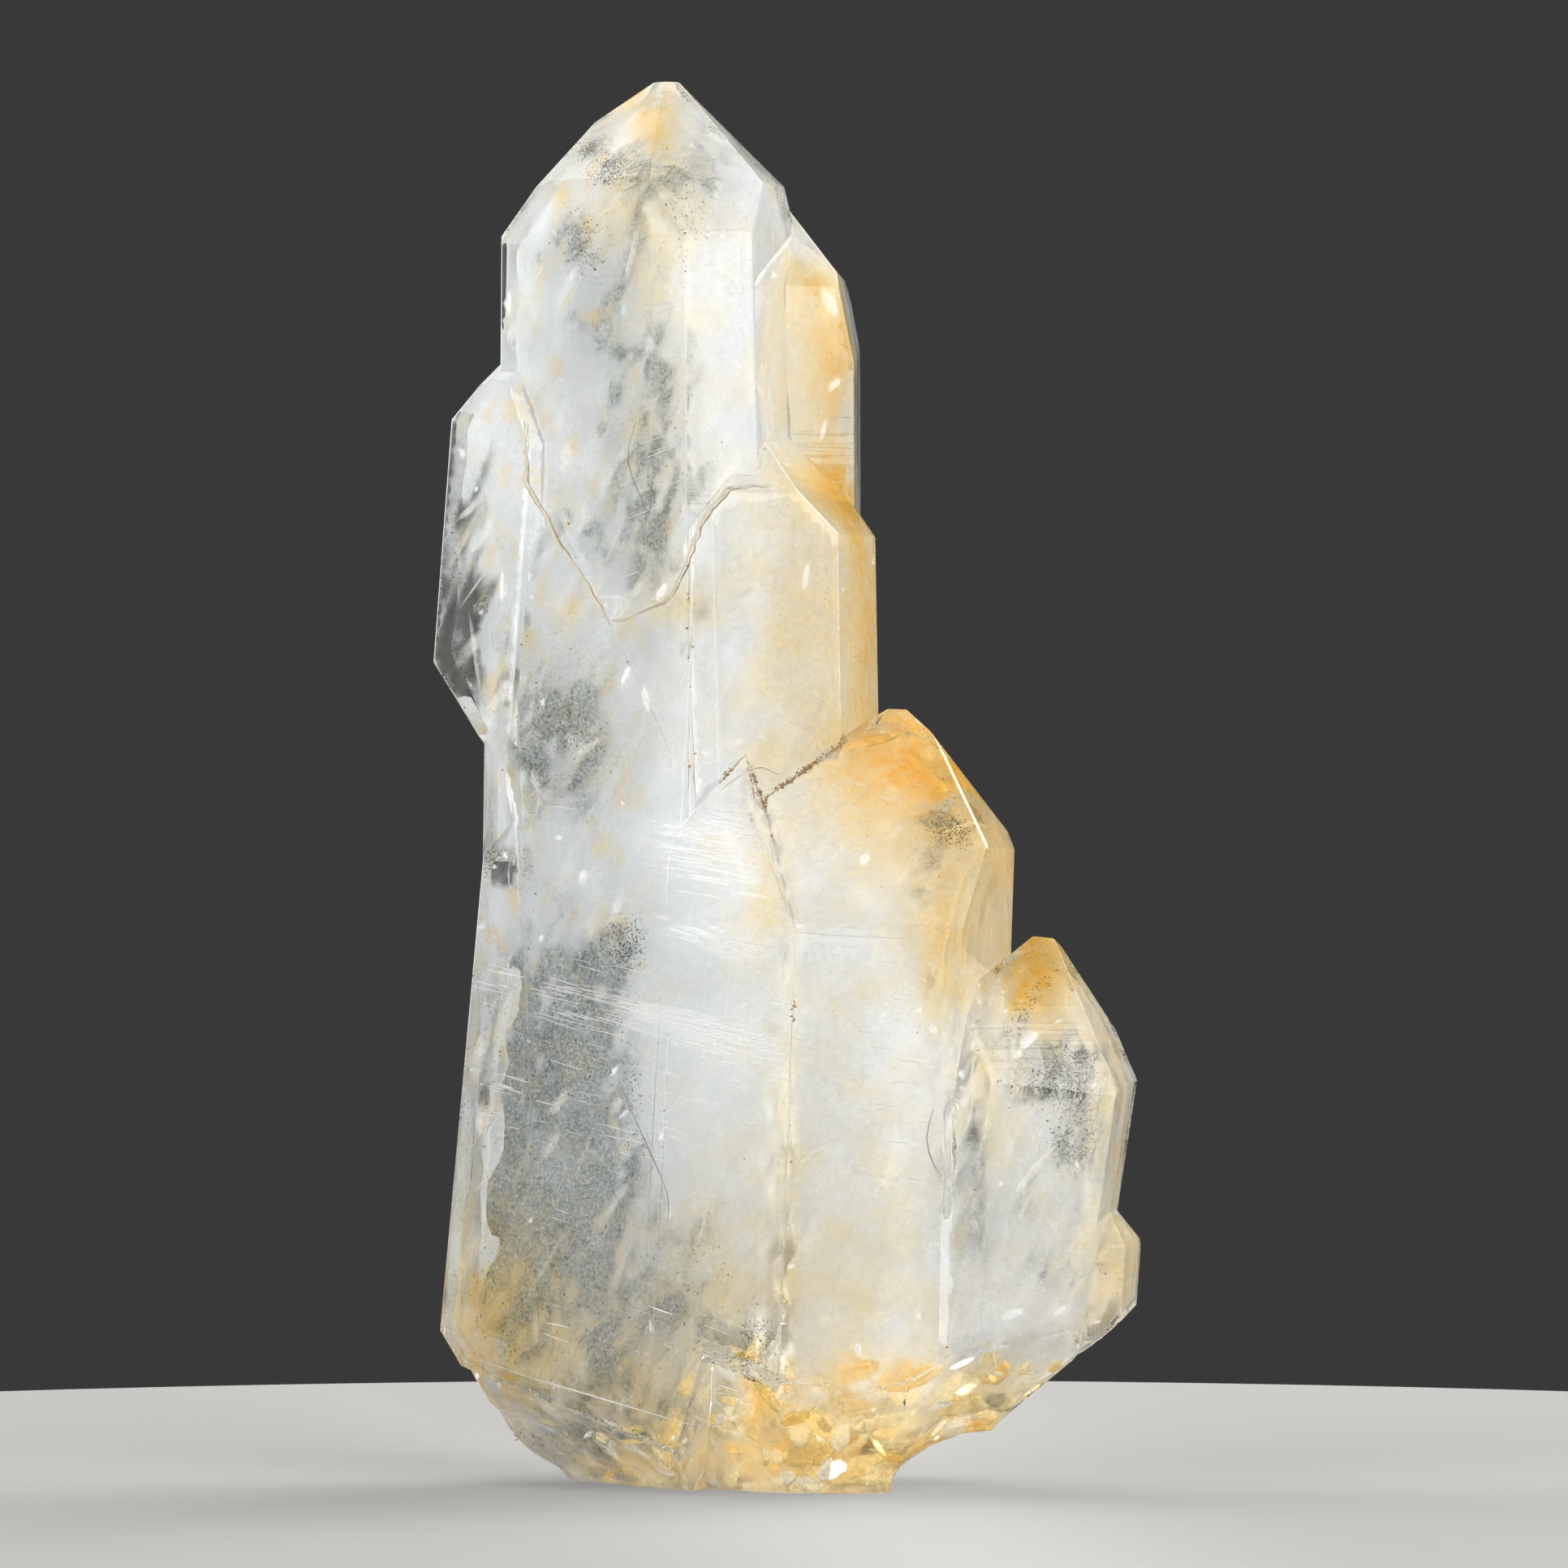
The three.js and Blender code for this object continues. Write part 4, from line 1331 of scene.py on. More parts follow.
@dataclass
class SealedFilms:
    """Wisps, golden fractures and healed cracks inside the quartz; the healed cracks are white with a small glow,
    partly painted glints.
    """

    wisps: int = 700
    fractures: int = 320
    small_glints: int = 170

    def build(self, growth: Growth, effects: Effects) -> list[bpy.types.Object]:
        """Make one piece for each kind of film.

        Args:
            growth: Milk and stain of the quartz.
            effects: Shared node groups.

        Returns:
            The pieces.
        """
        finishes = {
            FilmKind.WISP: (self.wisp_set(growth), FilmFinish("milky_wisp", 0.7, 0.0)),
            FilmKind.GOLD: (self.fracture_set(), FilmFinish("golden_film", 0.25, 0.0)),
            # The bright cracks' white glow is painted glint light
            FilmKind.SILVER: (self.glint_set(), FilmFinish("painted_glint_film", 0.25, 0.2)),
        }
        pieces = []
        for kind, (films, finish) in finishes.items():
            points, quads, triangles, haze, tints = films.meshes()
            mesh = mesh_from(kind.value, points, quads, triangles)
            add_values(mesh, "haze", haze)
            add_colours(mesh, "tint", tints)
            piece = new_object(kind.value, mesh, finish.material(effects))
            piece.visible_shadow = False
            pieces.append(piece)
        return pieces

    def wisp_set(self, growth: Growth) -> FilmSet:
        """Milky streaks that lean from lower left to upper right, between the outer and the deep veil.

        Args:
            growth: Milk and stain of the quartz.

        Returns:
            The films.
        """
        draw = np.random.default_rng(31)
        places = draw.uniform((-30.0, -20.0, 3.0), (29.0, 24.0, 117.0), (self.wisps * 16, 3))
        depth = depth_in_cluster(places)
        places = places[(depth > 0.3) & (depth < 2.6)][: self.wisps]
        count = len(places)
        lean = np.radians(draw.normal(32.0, 14.0, count))
        longways = np.stack([np.sin(lean), draw.normal(0.0, 0.25, count), np.cos(lean)], axis=1)
        across = unit(np.cross(longways, draw.normal(size=(count, 3))))
        halves = np.stack([draw.uniform(1.0, 4.4, count), draw.uniform(0.2, 0.9, count)], axis=1)
        pale = np.array([0.93, 0.93, 0.91])
        tints = pale + growth.honey(places)[:, None] * (np.array([0.93, 0.7, 0.32]) - pale)
        corners = draw.uniform(0.0, 2.0 * math.pi, (count, 9))
        strengths = draw.uniform(0.15, 0.7, count) * (0.35 + 0.65 * smooth_step(*growth.calm_foot, places[:, 2]))
        return FilmSet(places, unit(longways), across, halves, tints, strengths, corners, bulge=0.05)

    def fracture_set(self) -> FilmSet:
        """Golden angular cracks near the broken base and in the stained points.

        Returns:
            The films.
        """
        draw = np.random.default_rng(32)
        count = self.fractures
        base = draw.uniform((-7.0, -18.0, 0.8), (25.0, 0.0, 12.0), (count * 4, 3))
        left = draw.uniform((-24.0, -10.0, 0.8), (-6.0, 2.0, 5.0), (count // 2, 3))
        rear = draw.uniform((-20.0, 4.0, 1.2), (14.0, 22.0, 10.0), (count, 3))
        points = draw.uniform((7.0, -12.0, 54.0), (18.0, 4.0, 66.0), (count // 4, 3))
        places = np.concatenate([base, left, rear, points])
        depth = depth_in_cluster(places)
        places = places[(depth > 0.45) & (depth < 2.8)]
        table = np.array(STREAKS)
        streaks, streak_long, streak_across = under_face(table)
        count = len(places)
        facing_out = unit(draw.normal(0.0, 0.55, (count, 3)) + np.array([0.0, -1.0, -0.35]))
        longways = unit(np.cross(facing_out, draw.normal(size=(count, 3))))
        across = np.cross(facing_out, longways)
        halves = np.stack([draw.uniform(0.5, 2.8, count), draw.uniform(0.3, 1.3, count)], axis=1)
        shades = np.array([[0.99, 0.96, 0.86], [0.99, 0.86, 0.52], [0.97, 0.75, 0.3], [0.96, 0.62, 0.12]])
        tints = shades[draw.choice(4, count, p=(0.32, 0.32, 0.24, 0.12))]
        corners = draw.uniform(0.0, 2.0 * math.pi, (count, 5))
        strengths = draw.uniform(0.35, 1.0, count)
        places = np.concatenate([places, streaks])
        longways = np.concatenate([longways, streak_long])
        across = np.concatenate([across, streak_across])
        halves = np.concatenate([halves, table[:, 3:5]])
        tints = np.concatenate([tints, shades[2 + np.arange(len(table)) % 2]])
        strengths = np.concatenate([strengths, np.full(len(table), 0.75)])
        corners = np.concatenate([corners, draw.uniform(0.0, 2.0 * math.pi, (len(table), 5))])
        return FilmSet(places, longways, across, halves, tints, strengths, corners, bulge=0.03, fading=0.1, cover=0.25)

    def glint_set(self) -> FilmSet:
        """Listed cracks under the front faces, and a few small ones on every side, white with a small glow as painted
        glints.

        Returns:
            The films.
        """
        draw = np.random.default_rng(33)
        table = np.array(GLINTS)
        front, front_long, front_across = under_face(table)
        spread = draw.uniform((-30.0, -20.0, 2.0), (29.0, 24.0, 116.0), (2600, 3))
        depth = depth_in_cluster(spread)
        spread = spread[(depth > 0.35) & (depth < 1.6)][: self.small_glints]
        places = np.concatenate([front, spread])
        lean = np.radians(draw.uniform(-60.0, 90.0, len(spread)))
        tip = draw.normal(0.0, 0.6, len(spread))
        longways = unit(np.stack([np.sin(lean), tip, np.cos(lean)], axis=1))
        across = unit(np.stack([np.cos(lean), draw.normal(0.0, 0.35, len(lean)), -np.sin(lean)], axis=1))
        longways, across = np.concatenate([front_long, longways]), np.concatenate([front_across, across])
        small = np.stack([draw.uniform(0.15, 0.7, len(spread)), draw.uniform(0.08, 0.3, len(spread))], axis=1)
        halves = np.concatenate([table[:, 3:5] * 0.75, small])
        tints = np.tile((0.97, 0.97, 0.95), (len(places), 1))
        # One listed crack is tinted pale blue: a painted rainbow reflection
        tints[len(front) - 1] = (0.45, 0.8, 1.0)
        corners = draw.uniform(0.0, 2.0 * math.pi, (len(places), 6))
        strengths = np.concatenate([np.full(len(front), 0.85), draw.uniform(0.4, 0.9, len(spread))])
        return FilmSet(places, longways, across, halves, tints, strengths, corners, bulge=0.08, fading=1.1)


# A grain's points round its axis, and all of them with its two ends
GRAIN_SIDES = 3
GRAIN_POINTS = GRAIN_SIDES + 2


def grains(centres: np.ndarray, sizes: np.ndarray, draw: np.random.Generator) -> Surfaces:
    """Tiny splinters: three points round a randomly turned axis and a point at either end of it.

    Args:
        centres: Middles in millimetres.
        sizes: Half lengths in millimetres.
        draw: Random draws.

    Returns:
        Points, quads and triangles.
    """
    count = len(centres)
    axis = unit(draw.normal(size=(count, 3)))
    side = unit(np.cross(axis, draw.normal(size=(count, 3))))
    third = np.cross(axis, side)
    turn = np.linspace(0.0, 2.0 * math.pi, GRAIN_SIDES, endpoint=False)
    width = sizes * draw.uniform(0.4, 0.9, count)
    spoke = np.cos(turn)[None, :, None] * side[:, None] + np.sin(turn)[None, :, None] * third[:, None]
    ring = centres[:, None] + width[:, None, None] * spoke
    return closed_surfaces(ring[:, None], centres - axis * sizes[:, None], centres + axis * sizes[:, None])


# Direction along which triangles are put in order, at a slant so that hardly any two corners tie
ORDER_SLANT = np.array([0.3113, 0.1737, 1.0])


def in_fixed_order(triangles: np.ndarray) -> np.ndarray:
    """The same triangles in an order that hangs only on where they lie, since worn edges are numbered anew each run.

    Args:
        triangles: Corners by triangle, in millimetres.

    Returns:
        The triangles, each turned to start at its lowest corner, from the lowest up.
    """
    rank = (np.round(triangles, 3) * ORDER_SLANT).sum(axis=2)
    turned = (rank.argmin(axis=1)[:, None] + np.arange(3)) % 3
    rank = np.take_along_axis(rank, turned, axis=1)
    order = np.lexsort((rank[:, 2], rank[:, 1], rank[:, 0]))
    return np.take_along_axis(triangles, turned[:, :, None], axis=1)[order]


# Places with dark dust under the skin: middle, half width and half height in millimetres, share of the grains
DUST_PATCHES = (
    Patch(-14.6, 112.3, 1.5, 1.0, 5.0), Patch(-17.4, 105.7, 1.4, 2.0, 0.9), Patch(-13.6, 45.9, 1.3, 1.7, 3.4),
    Patch(-12.8, 33.0, 0.9, 5.0, 0.9), Patch(-19.6, 35.0, 5.5, 9.0, 0.28), Patch(-19.1, 64.3, 3.6, 5.0, 0.4),
    Patch(13.9, 55.9, 1.3, 1.0, 4.0), Patch(22.3, 35.2, 2.0, 1.3, 3.4), Patch(23.4, 30.5, 1.2, 2.4, 1.6),
    Patch(20.2, 41.0, 0.5, 2.4, 1.6, 35.0), Patch(-2.6, 12.8, 1.3, 1.5, 2.0), Patch(-17.0, 4.6, 3.4, 1.2, 1.2),
    Patch(-23.3, 52.8, 1.5, 1.0, 0.8), Patch(-28.6, 75.0, 0.8, 6.0, 0.8), Patch(-8.3, 108.0, 1.6, 3.4, 0.35),
    Patch(-21.0, 14.0, 7.0, 6.0, 0.2), Patch(-8.0, 17.0, 3.0, 5.0, 0.2), Patch(-27.4, 68.8, 0.4, 0.2, 3.0),
    Patch(26.6, 19.2, 0.2, 0.6, 4.0), Patch(-11.0, 86.0, 2.4, 4.0, 0.2),
)


@dataclass
class Dust:
    """Fine grains sealed just under the skin: dark dust in the windows, pale and rusty grains all round."""

    dark: int = 12000
    pale: int = 2600
    rusty: int = 4200

    def build(self, skin: bpy.types.Object, growth: Growth, effects: Effects) -> list[bpy.types.Object]:
        """Scatter the grains below the skin's triangles.

        Args:
            skin: Finished skin.
            growth: Milk and stain of the quartz.
            effects: Shared node groups.

        Returns:
            The pieces.
        """
        finish = SolidFinish("sealed_dust", 0.5, 0.08).material(effects)

        def pale_share(points: np.ndarray) -> np.ndarray:
            """Pale grains: thin everywhere, thicker in the milk."""
            return 0.25 + growth.milk(points)

        def rusty_share(points: np.ndarray) -> np.ndarray:
            """Rusty grains: only where the stain is deep."""
            return growth.honey(points) ** 2.0

        return [
            self.scatter("dark_dust", skin, self.dark, 41, (0.04, 0.12), self.dark_share,
                         ((0.015, 0.02, 0.018), (0.1, 0.1, 0.08)), finish),
            self.scatter("pale_grains", skin, self.pale, 42, (0.02, 0.06), pale_share,
                         ((0.9, 0.9, 0.88), (0.95, 0.88, 0.7)), finish),
            self.scatter("rusty_grains", skin, self.rusty, 43, (0.025, 0.08), rusty_share,
                         ((0.5, 0.22, 0.04), (0.8, 0.5, 0.18)), finish),
        ]

    @staticmethod
    def dark_share(points: np.ndarray) -> np.ndarray:
        """How much dark dust lies at each place: ovals in front, a thin scatter behind."""
        front = Growth.front(points)
        return front * sum(patch.at(points) for patch in DUST_PATCHES) + 0.0015

    @staticmethod
    def scatter(name: str, skin: bpy.types.Object, count: int, seed: int, sizes: tuple[float, float],
                share: Callable[[np.ndarray], np.ndarray], tints: tuple[tuple[float, ...], tuple[float, ...]],
                material: bpy.types.Material) -> bpy.types.Object:
        """Grains under random places of the skin, chosen by area and by a share that changes over it.

        Args:
            name: Name of the piece.
            skin: Finished skin.
            count: Number of grains.
            seed: Seed of the random draws.
            sizes: Least and greatest half length in millimetres.
            share: Share of the grains at given points.
            tints: Two colours to mix.
            material: Finish of the grains.

        Returns:
            The piece.
        """
        draw = np.random.default_rng(seed)
        mesh = skin.data
        place = np.empty(len(mesh.vertices) * 3, dtype=np.float32)
        mesh.vertices.foreach_get("co", place)
        place = place.reshape(-1, 3).astype(float) / MM - GROWTH_ORIGIN
        corners = np.empty(len(mesh.loops), dtype=np.int32)
        mesh.loops.foreach_get("vertex_index", corners)
        a, b, c = in_fixed_order(place[corners.reshape(-1, 3)]).transpose(1, 0, 2)
        normal = np.cross(b - a, c - a)
        area = np.linalg.norm(normal, axis=1)
        weight = area * np.clip(share((a + b + c) / 3.0), 0.0, None)
        chosen = draw.choice(len(a), count, p=weight / weight.sum())
        u, v = draw.uniform(size=(2, count, 1))
        fold = u + v > 1.0
        u, v = np.where(fold, 1.0 - u, u), np.where(fold, 1.0 - v, v)
        spot = a[chosen] + u * (b - a)[chosen] + v * (c - a)[chosen]
        spot = spot - unit(normal[chosen]) * draw.uniform(0.12, 0.5, (count, 1))
        spot = spot[depth_in_cluster(spot) > 0.1]
        half = draw.uniform(*sizes, len(spot)) * draw.uniform(0.6, 1.2, len(spot))
        points, quads, triangles = grains(spot, half, draw)
        piece_mesh = mesh_from(name, points, quads, triangles)
        mix = draw.uniform(0.0, 1.0, (len(spot), 1))
        colours = mix * np.array(tints[0]) + (1.0 - mix) * np.array(tints[1])
        add_colours(piece_mesh, "tint", np.repeat(colours, GRAIN_POINTS, axis=0))
        piece = new_object(name, piece_mesh, material)
        piece.visible_shadow = False
        return piece


def ribbons(paths: np.ndarray, side: np.ndarray, width: np.ndarray, height: np.ndarray, cols: int = 6) -> Surfaces:
    """Flat oval profile carried along paths, drawn to a point at both ends.

    Args:
        paths: Points by ribbon and place along it, in millimetres.
        side: Direction that each ribbon faces.
        width: Half width by ribbon and place.
        height: Half height by ribbon and place.
        cols: Points round the profile.

    Returns:
        Points, quads and triangles.
    """
    along = unit(np.gradient(paths, axis=1))
    across = unit(np.cross(along, side[:, None]))
    up = np.cross(across, along)
    turn = np.linspace(0.0, 2.0 * math.pi, cols, endpoint=False)
    taper = np.sin(math.pi * (np.arange(paths.shape[1]) + 0.5) / paths.shape[1]) ** 0.4
    wide = (width * taper)[..., None, None] * np.cos(turn)[None, None, :, None] * across[:, :, None]
    high = (height * taper)[..., None, None] * np.sin(turn)[None, None, :, None] * up[:, :, None]
    return closed_surfaces(paths[:, :, None] + wide + high, paths[:, 0], paths[:, -1])


# Brown soil in the crevices between the front crystals: middle, half sizes, share
SOIL_PATCHES = (
    Patch(3.4, 63.4, 1.6, 1.2, 1.0), Patch(1.0, 61.8, 1.6, 1.2, 1.0), Patch(-0.6, 60.5, 1.2, 1.0, 1.0),
    Patch(-2.0, 57.6, 0.8, 2.0, 0.6),
    Patch(-4.0, 60.2, 1.4, 0.8, 0.35), Patch(-0.2, 41.5, 0.8, 1.0, 0.4), Patch(16.8, 22.0, 0.8, 6.0, 0.15),
)


# Where the seams are widest, seen from the front: middle, half sizes, strength
SUTURE_PATCHES = (
    Patch(1.0, 85.0, 3.0, 2.0, 0.6), Patch(-4.0, 60.0, 3.0, 2.0, 0.6), Patch(1.5, 62.0, 3.0, 2.0, 1.0),
    Patch(-2.0, 54.0, 1.5, 4.0, 0.5),
)
# Stained sutures where the spire grows out of the stem, by turning points to the right and upwards in millimetres;
# their cream and brown lines are partly stain and partly a painted highlight and painted shadow along the suture's
# small lip
SUTURES = (
    ((-22.2, 90.6), (-22.2, 87.7), (-22.1, 85.2), (-21.0, 83.7), (-19.2, 80.2), (-17.1, 77.0), (-14.9, 73.3)),
    ((-1.4, 85.1), (-4.7, 84.8), (-6.3, 83.0), (-7.5, 81.2), (-8.4, 78.2), (-9.9, 75.4), (-14.6, 73.4)),
)


@dataclass
class Seams:
    """Lines where crystals meet: pale stained ribbons in every inward corner, and soil in the deep ones."""

    places: int = 8
    soil: int = 900
    shortest: float = 0.8
    sunk: float = 0.03

    def build(self, skin: CrystalSkin, growth: Growth, effects: Effects) -> list[bpy.types.Object]:
        """Lay a ribbon along each inward corner of the skin and grains of soil on some.

        Args:
            skin: Skin with its inward corners noted.
            growth: Milk and stain of the quartz.
            effects: Shared node groups.

        Returns:
            The pieces.
        """
        draw = np.random.default_rng(51)
        length = np.linalg.norm(skin.seams[:, 1] - skin.seams[:, 0], axis=1)
        kept = length > self.shortest
        ends, side = skin.seams[kept], skin.seam_sides[kept]
        t = np.linspace(0.0, 1.0, self.places)[None, :, None]
        paths = ends[:, :1] + t * (ends[:, 1:] - ends[:, :1]) - self.sunk * side[:, None]
        paths = paths + draw.normal(0.0, 0.03, paths.shape)
        wide = Growth.front(paths) * sum(patch.at(paths) for patch in SUTURE_PATCHES)
        width = draw.uniform(0.6, 1.3, paths.shape[:2]) * (0.02 + 0.14 * np.clip(wide, 0.0, 1.0))
        points, quads, triangles = ribbons(paths, side, width, width * 0.45)
        mesh = mesh_from("seam_ribbons", points, quads, triangles)
        honey = growth.honey(points)[:, None]
        add_colours(mesh, "tint", (1.0 - honey) * np.array([0.6, 0.52, 0.34]) + honey * np.array([0.6, 0.34, 0.08]))
        ribbon = new_object("seam_ribbons", mesh, SolidFinish("seam_fill", 0.35).material(effects))
        suture = self.sutures(draw, effects)
        weight = length[kept]
        pick = draw.choice(len(ends), self.soil * 130, p=weight / weight.sum())
        spot = ends[pick, 0] + draw.uniform(0.0, 1.0, (len(pick), 1)) * (ends[pick, 1] - ends[pick, 0])
        share = Growth.front(spot) * sum(patch.at(spot) for patch in SOIL_PATCHES) + 0.0012
        spot = spot[draw.uniform(size=len(spot)) < share][: self.soil]
        spot = spot + draw.normal(0.0, 0.12, spot.shape)
        points, quads, triangles = grains(spot, draw.uniform(0.06, 0.2, len(spot)), draw)
        mesh = mesh_from("crevice_soil", points, quads, triangles)
        mix = draw.uniform(0.0, 1.0, (len(spot), 1))
        colours = mix * np.array([0.22, 0.1, 0.025]) + (1.0 - mix) * np.array([0.55, 0.3, 0.08])
        add_colours(mesh, "tint", np.repeat(colours, GRAIN_POINTS, axis=0))
        soil = new_object("crevice_soil", mesh, SolidFinish("brown_soil", 0.6).material(effects))
        ribbon.visible_shadow = soil.visible_shadow = suture.visible_shadow = False
        return [ribbon, suture, soil]

    def sutures(self, draw: np.random.Generator, effects: Effects) -> bpy.types.Object:
        """Cream ribbons on the skin along the listed sutures, each with a thin brown line beside it: stain colours that
        also paint the highlight and the shadow of the suture's small lip.

        Args:
            draw: Random draws.
            effects: Shared node groups.

        Returns:
            The piece.
        """
        turning = np.array(SUTURES)
        count, marks = turning.shape[:2]
        t = np.linspace(0.0, marks - 1.0, 4 * marks)
        smooth = np.stack([[np.interp(t, np.arange(marks), line[:, k]) for k in range(2)] for line in turning])
        smooth = smooth.transpose(0, 2, 1) + draw.normal(0.0, 0.07, (count, len(t), 2))
        beside = smooth + np.array([0.26, -0.16])
        lines = np.concatenate([smooth, beside])
        paths = front_points(lines[..., 0].ravel(), lines[..., 1].ravel()).reshape(lines.shape[:2] + (3,))
        width = np.concatenate([draw.uniform(0.1, 0.26, (count, len(t))), draw.uniform(0.02, 0.1, (count, len(t)))])
        side = np.tile((0.0, -1.0, 0.0), (len(paths), 1))
        points, quads, triangles = ribbons(paths, side, width, width * 0.4)
        mesh = mesh_from("suture_ribbons", points, quads, triangles)
        tints = np.repeat(np.array([[0.9, 0.85, 0.7], [0.45, 0.3, 0.13]]), count, axis=0)
        add_colours(mesh, "tint", np.repeat(tints, len(points) // len(paths), axis=0))
        return new_object("suture_ribbons", mesh, SolidFinish("suture_stain_and_painted_lip_light", 0.3).material(effects))


@dataclass(frozen=True)
class ScratchBand:
    """Band of fine parallel scratches on a front face: where it runs, how many, how long and how steep."""

    left: tuple[float, float]
    right: tuple[float, float]
    spread: float
    count: int
    lengths: tuple[float, float]
    slope: float


SCRATCH_BANDS = (
    ScratchBand((-26.0, 43.5), (0.2, 37.0), 1.6, 130, (1.2, 6.0), -13.0),
    ScratchBand((-14.0, 41.0), (-1.0, 38.0), 0.9, 70, (1.5, 5.0), -13.0),
    ScratchBand((-27.0, 34.0), (0.0, 29.5), 3.0, 44, (0.6, 3.0), -13.0),
    ScratchBand((-10.4, 55.0), (-2.4, 54.2), 2.6, 120, (1.2, 5.0), -9.0),
    ScratchBand((-11.0, 47.5), (-2.0, 45.5), 0.8, 40, (0.8, 3.0), -18.0),
    ScratchBand((-1.0, 40.0), (1.0, 36.0), 3.0, 40, (0.6, 2.5), -12.0),
    ScratchBand((-20.0, 20.0), (-4.0, 12.0), 5.0, 16, (0.6, 2.4), -16.0),
    ScratchBand((-20.0, 78.0), (-8.0, 92.0), 8.0, 40, (0.6, 3.0), 20.0),
    ScratchBand((3.0, 52.0), (12.0, 30.0), 12.0, 40, (0.5, 2.5), -6.0),
)
# Thin open cracks drawn by their turning points, to the right and upwards in millimetres
CRACKS = (
    ((-14.1, 34.7), (-12.9, 32.0), (-11.9, 29.8), (-10.7, 27.2), (-9.9, 25.2), (-9.8, 24.0), (-9.9, 23.0)),
    ((-12.6, 90.4), (-13.2, 88.6), (-13.3, 87.0), (-12.9, 85.6), (-12.3, 84.2), (-11.9, 83.2), (-11.7, 82.6)),
    ((6.4, 7.0), (6.6, 6.4), (6.7, 5.9), (6.9, 5.5), (7.0, 5.2), (7.1, 5.1), (7.2, 5.0)),
    ((-5.6, 59.0), (-4.6, 59.8), (-3.6, 60.5), (-2.6, 61.0), (-1.9, 61.1), (-1.2, 60.8), (-0.6, 60.5)),
    ((12.4, 32.6), (12.0, 31.4), (11.8, 30.2), (12.0, 29.0), (12.3, 28.2), (12.6, 27.6), (12.8, 27.2)),
)


# Pale lines along the edges of growth plates and small steps on the front faces, painted highlights where those edges
# catch the light, drawn in the same way
PLATE_EDGE_HIGHLIGHTS = (
    ((-7.5, 57.4), (-5.8, 57.0), (-4.2, 56.5), (-2.6, 55.9), (-1.2, 53.8), (0.2, 51.4), (1.4, 49.2)),
    ((-7.5, 57.4), (-8.4, 56.2), (-9.3, 55.0), (-9.8, 53.6), (-9.9, 52.2), (-10.0, 50.8), (-10.0, 49.5)),
    ((-20.2, 55.0), (-20.2, 56.6), (-20.1, 57.8), (-18.8, 57.7), (-17.5, 57.5), (-17.4, 56.2), (-17.5, 55.1)),
    ((-1.0, 47.5), (1.2, 47.3), (3.4, 47.1), (5.6, 47.0), (7.8, 46.9), (10.0, 46.8), (12.0, 46.7)),
    ((-26.0, 10.6), (-22.0, 9.4), (-18.0, 8.4), (-14.0, 7.4), (-10.0, 6.4), (-8.0, 5.9), (-6.4, 5.5)),
    ((-6.4, 5.5), (-6.3, 7.0), (-6.2, 8.4), (-6.2, 9.6), (-6.1, 10.6), (-6.1, 11.4), (-6.1, 12.2)),
)


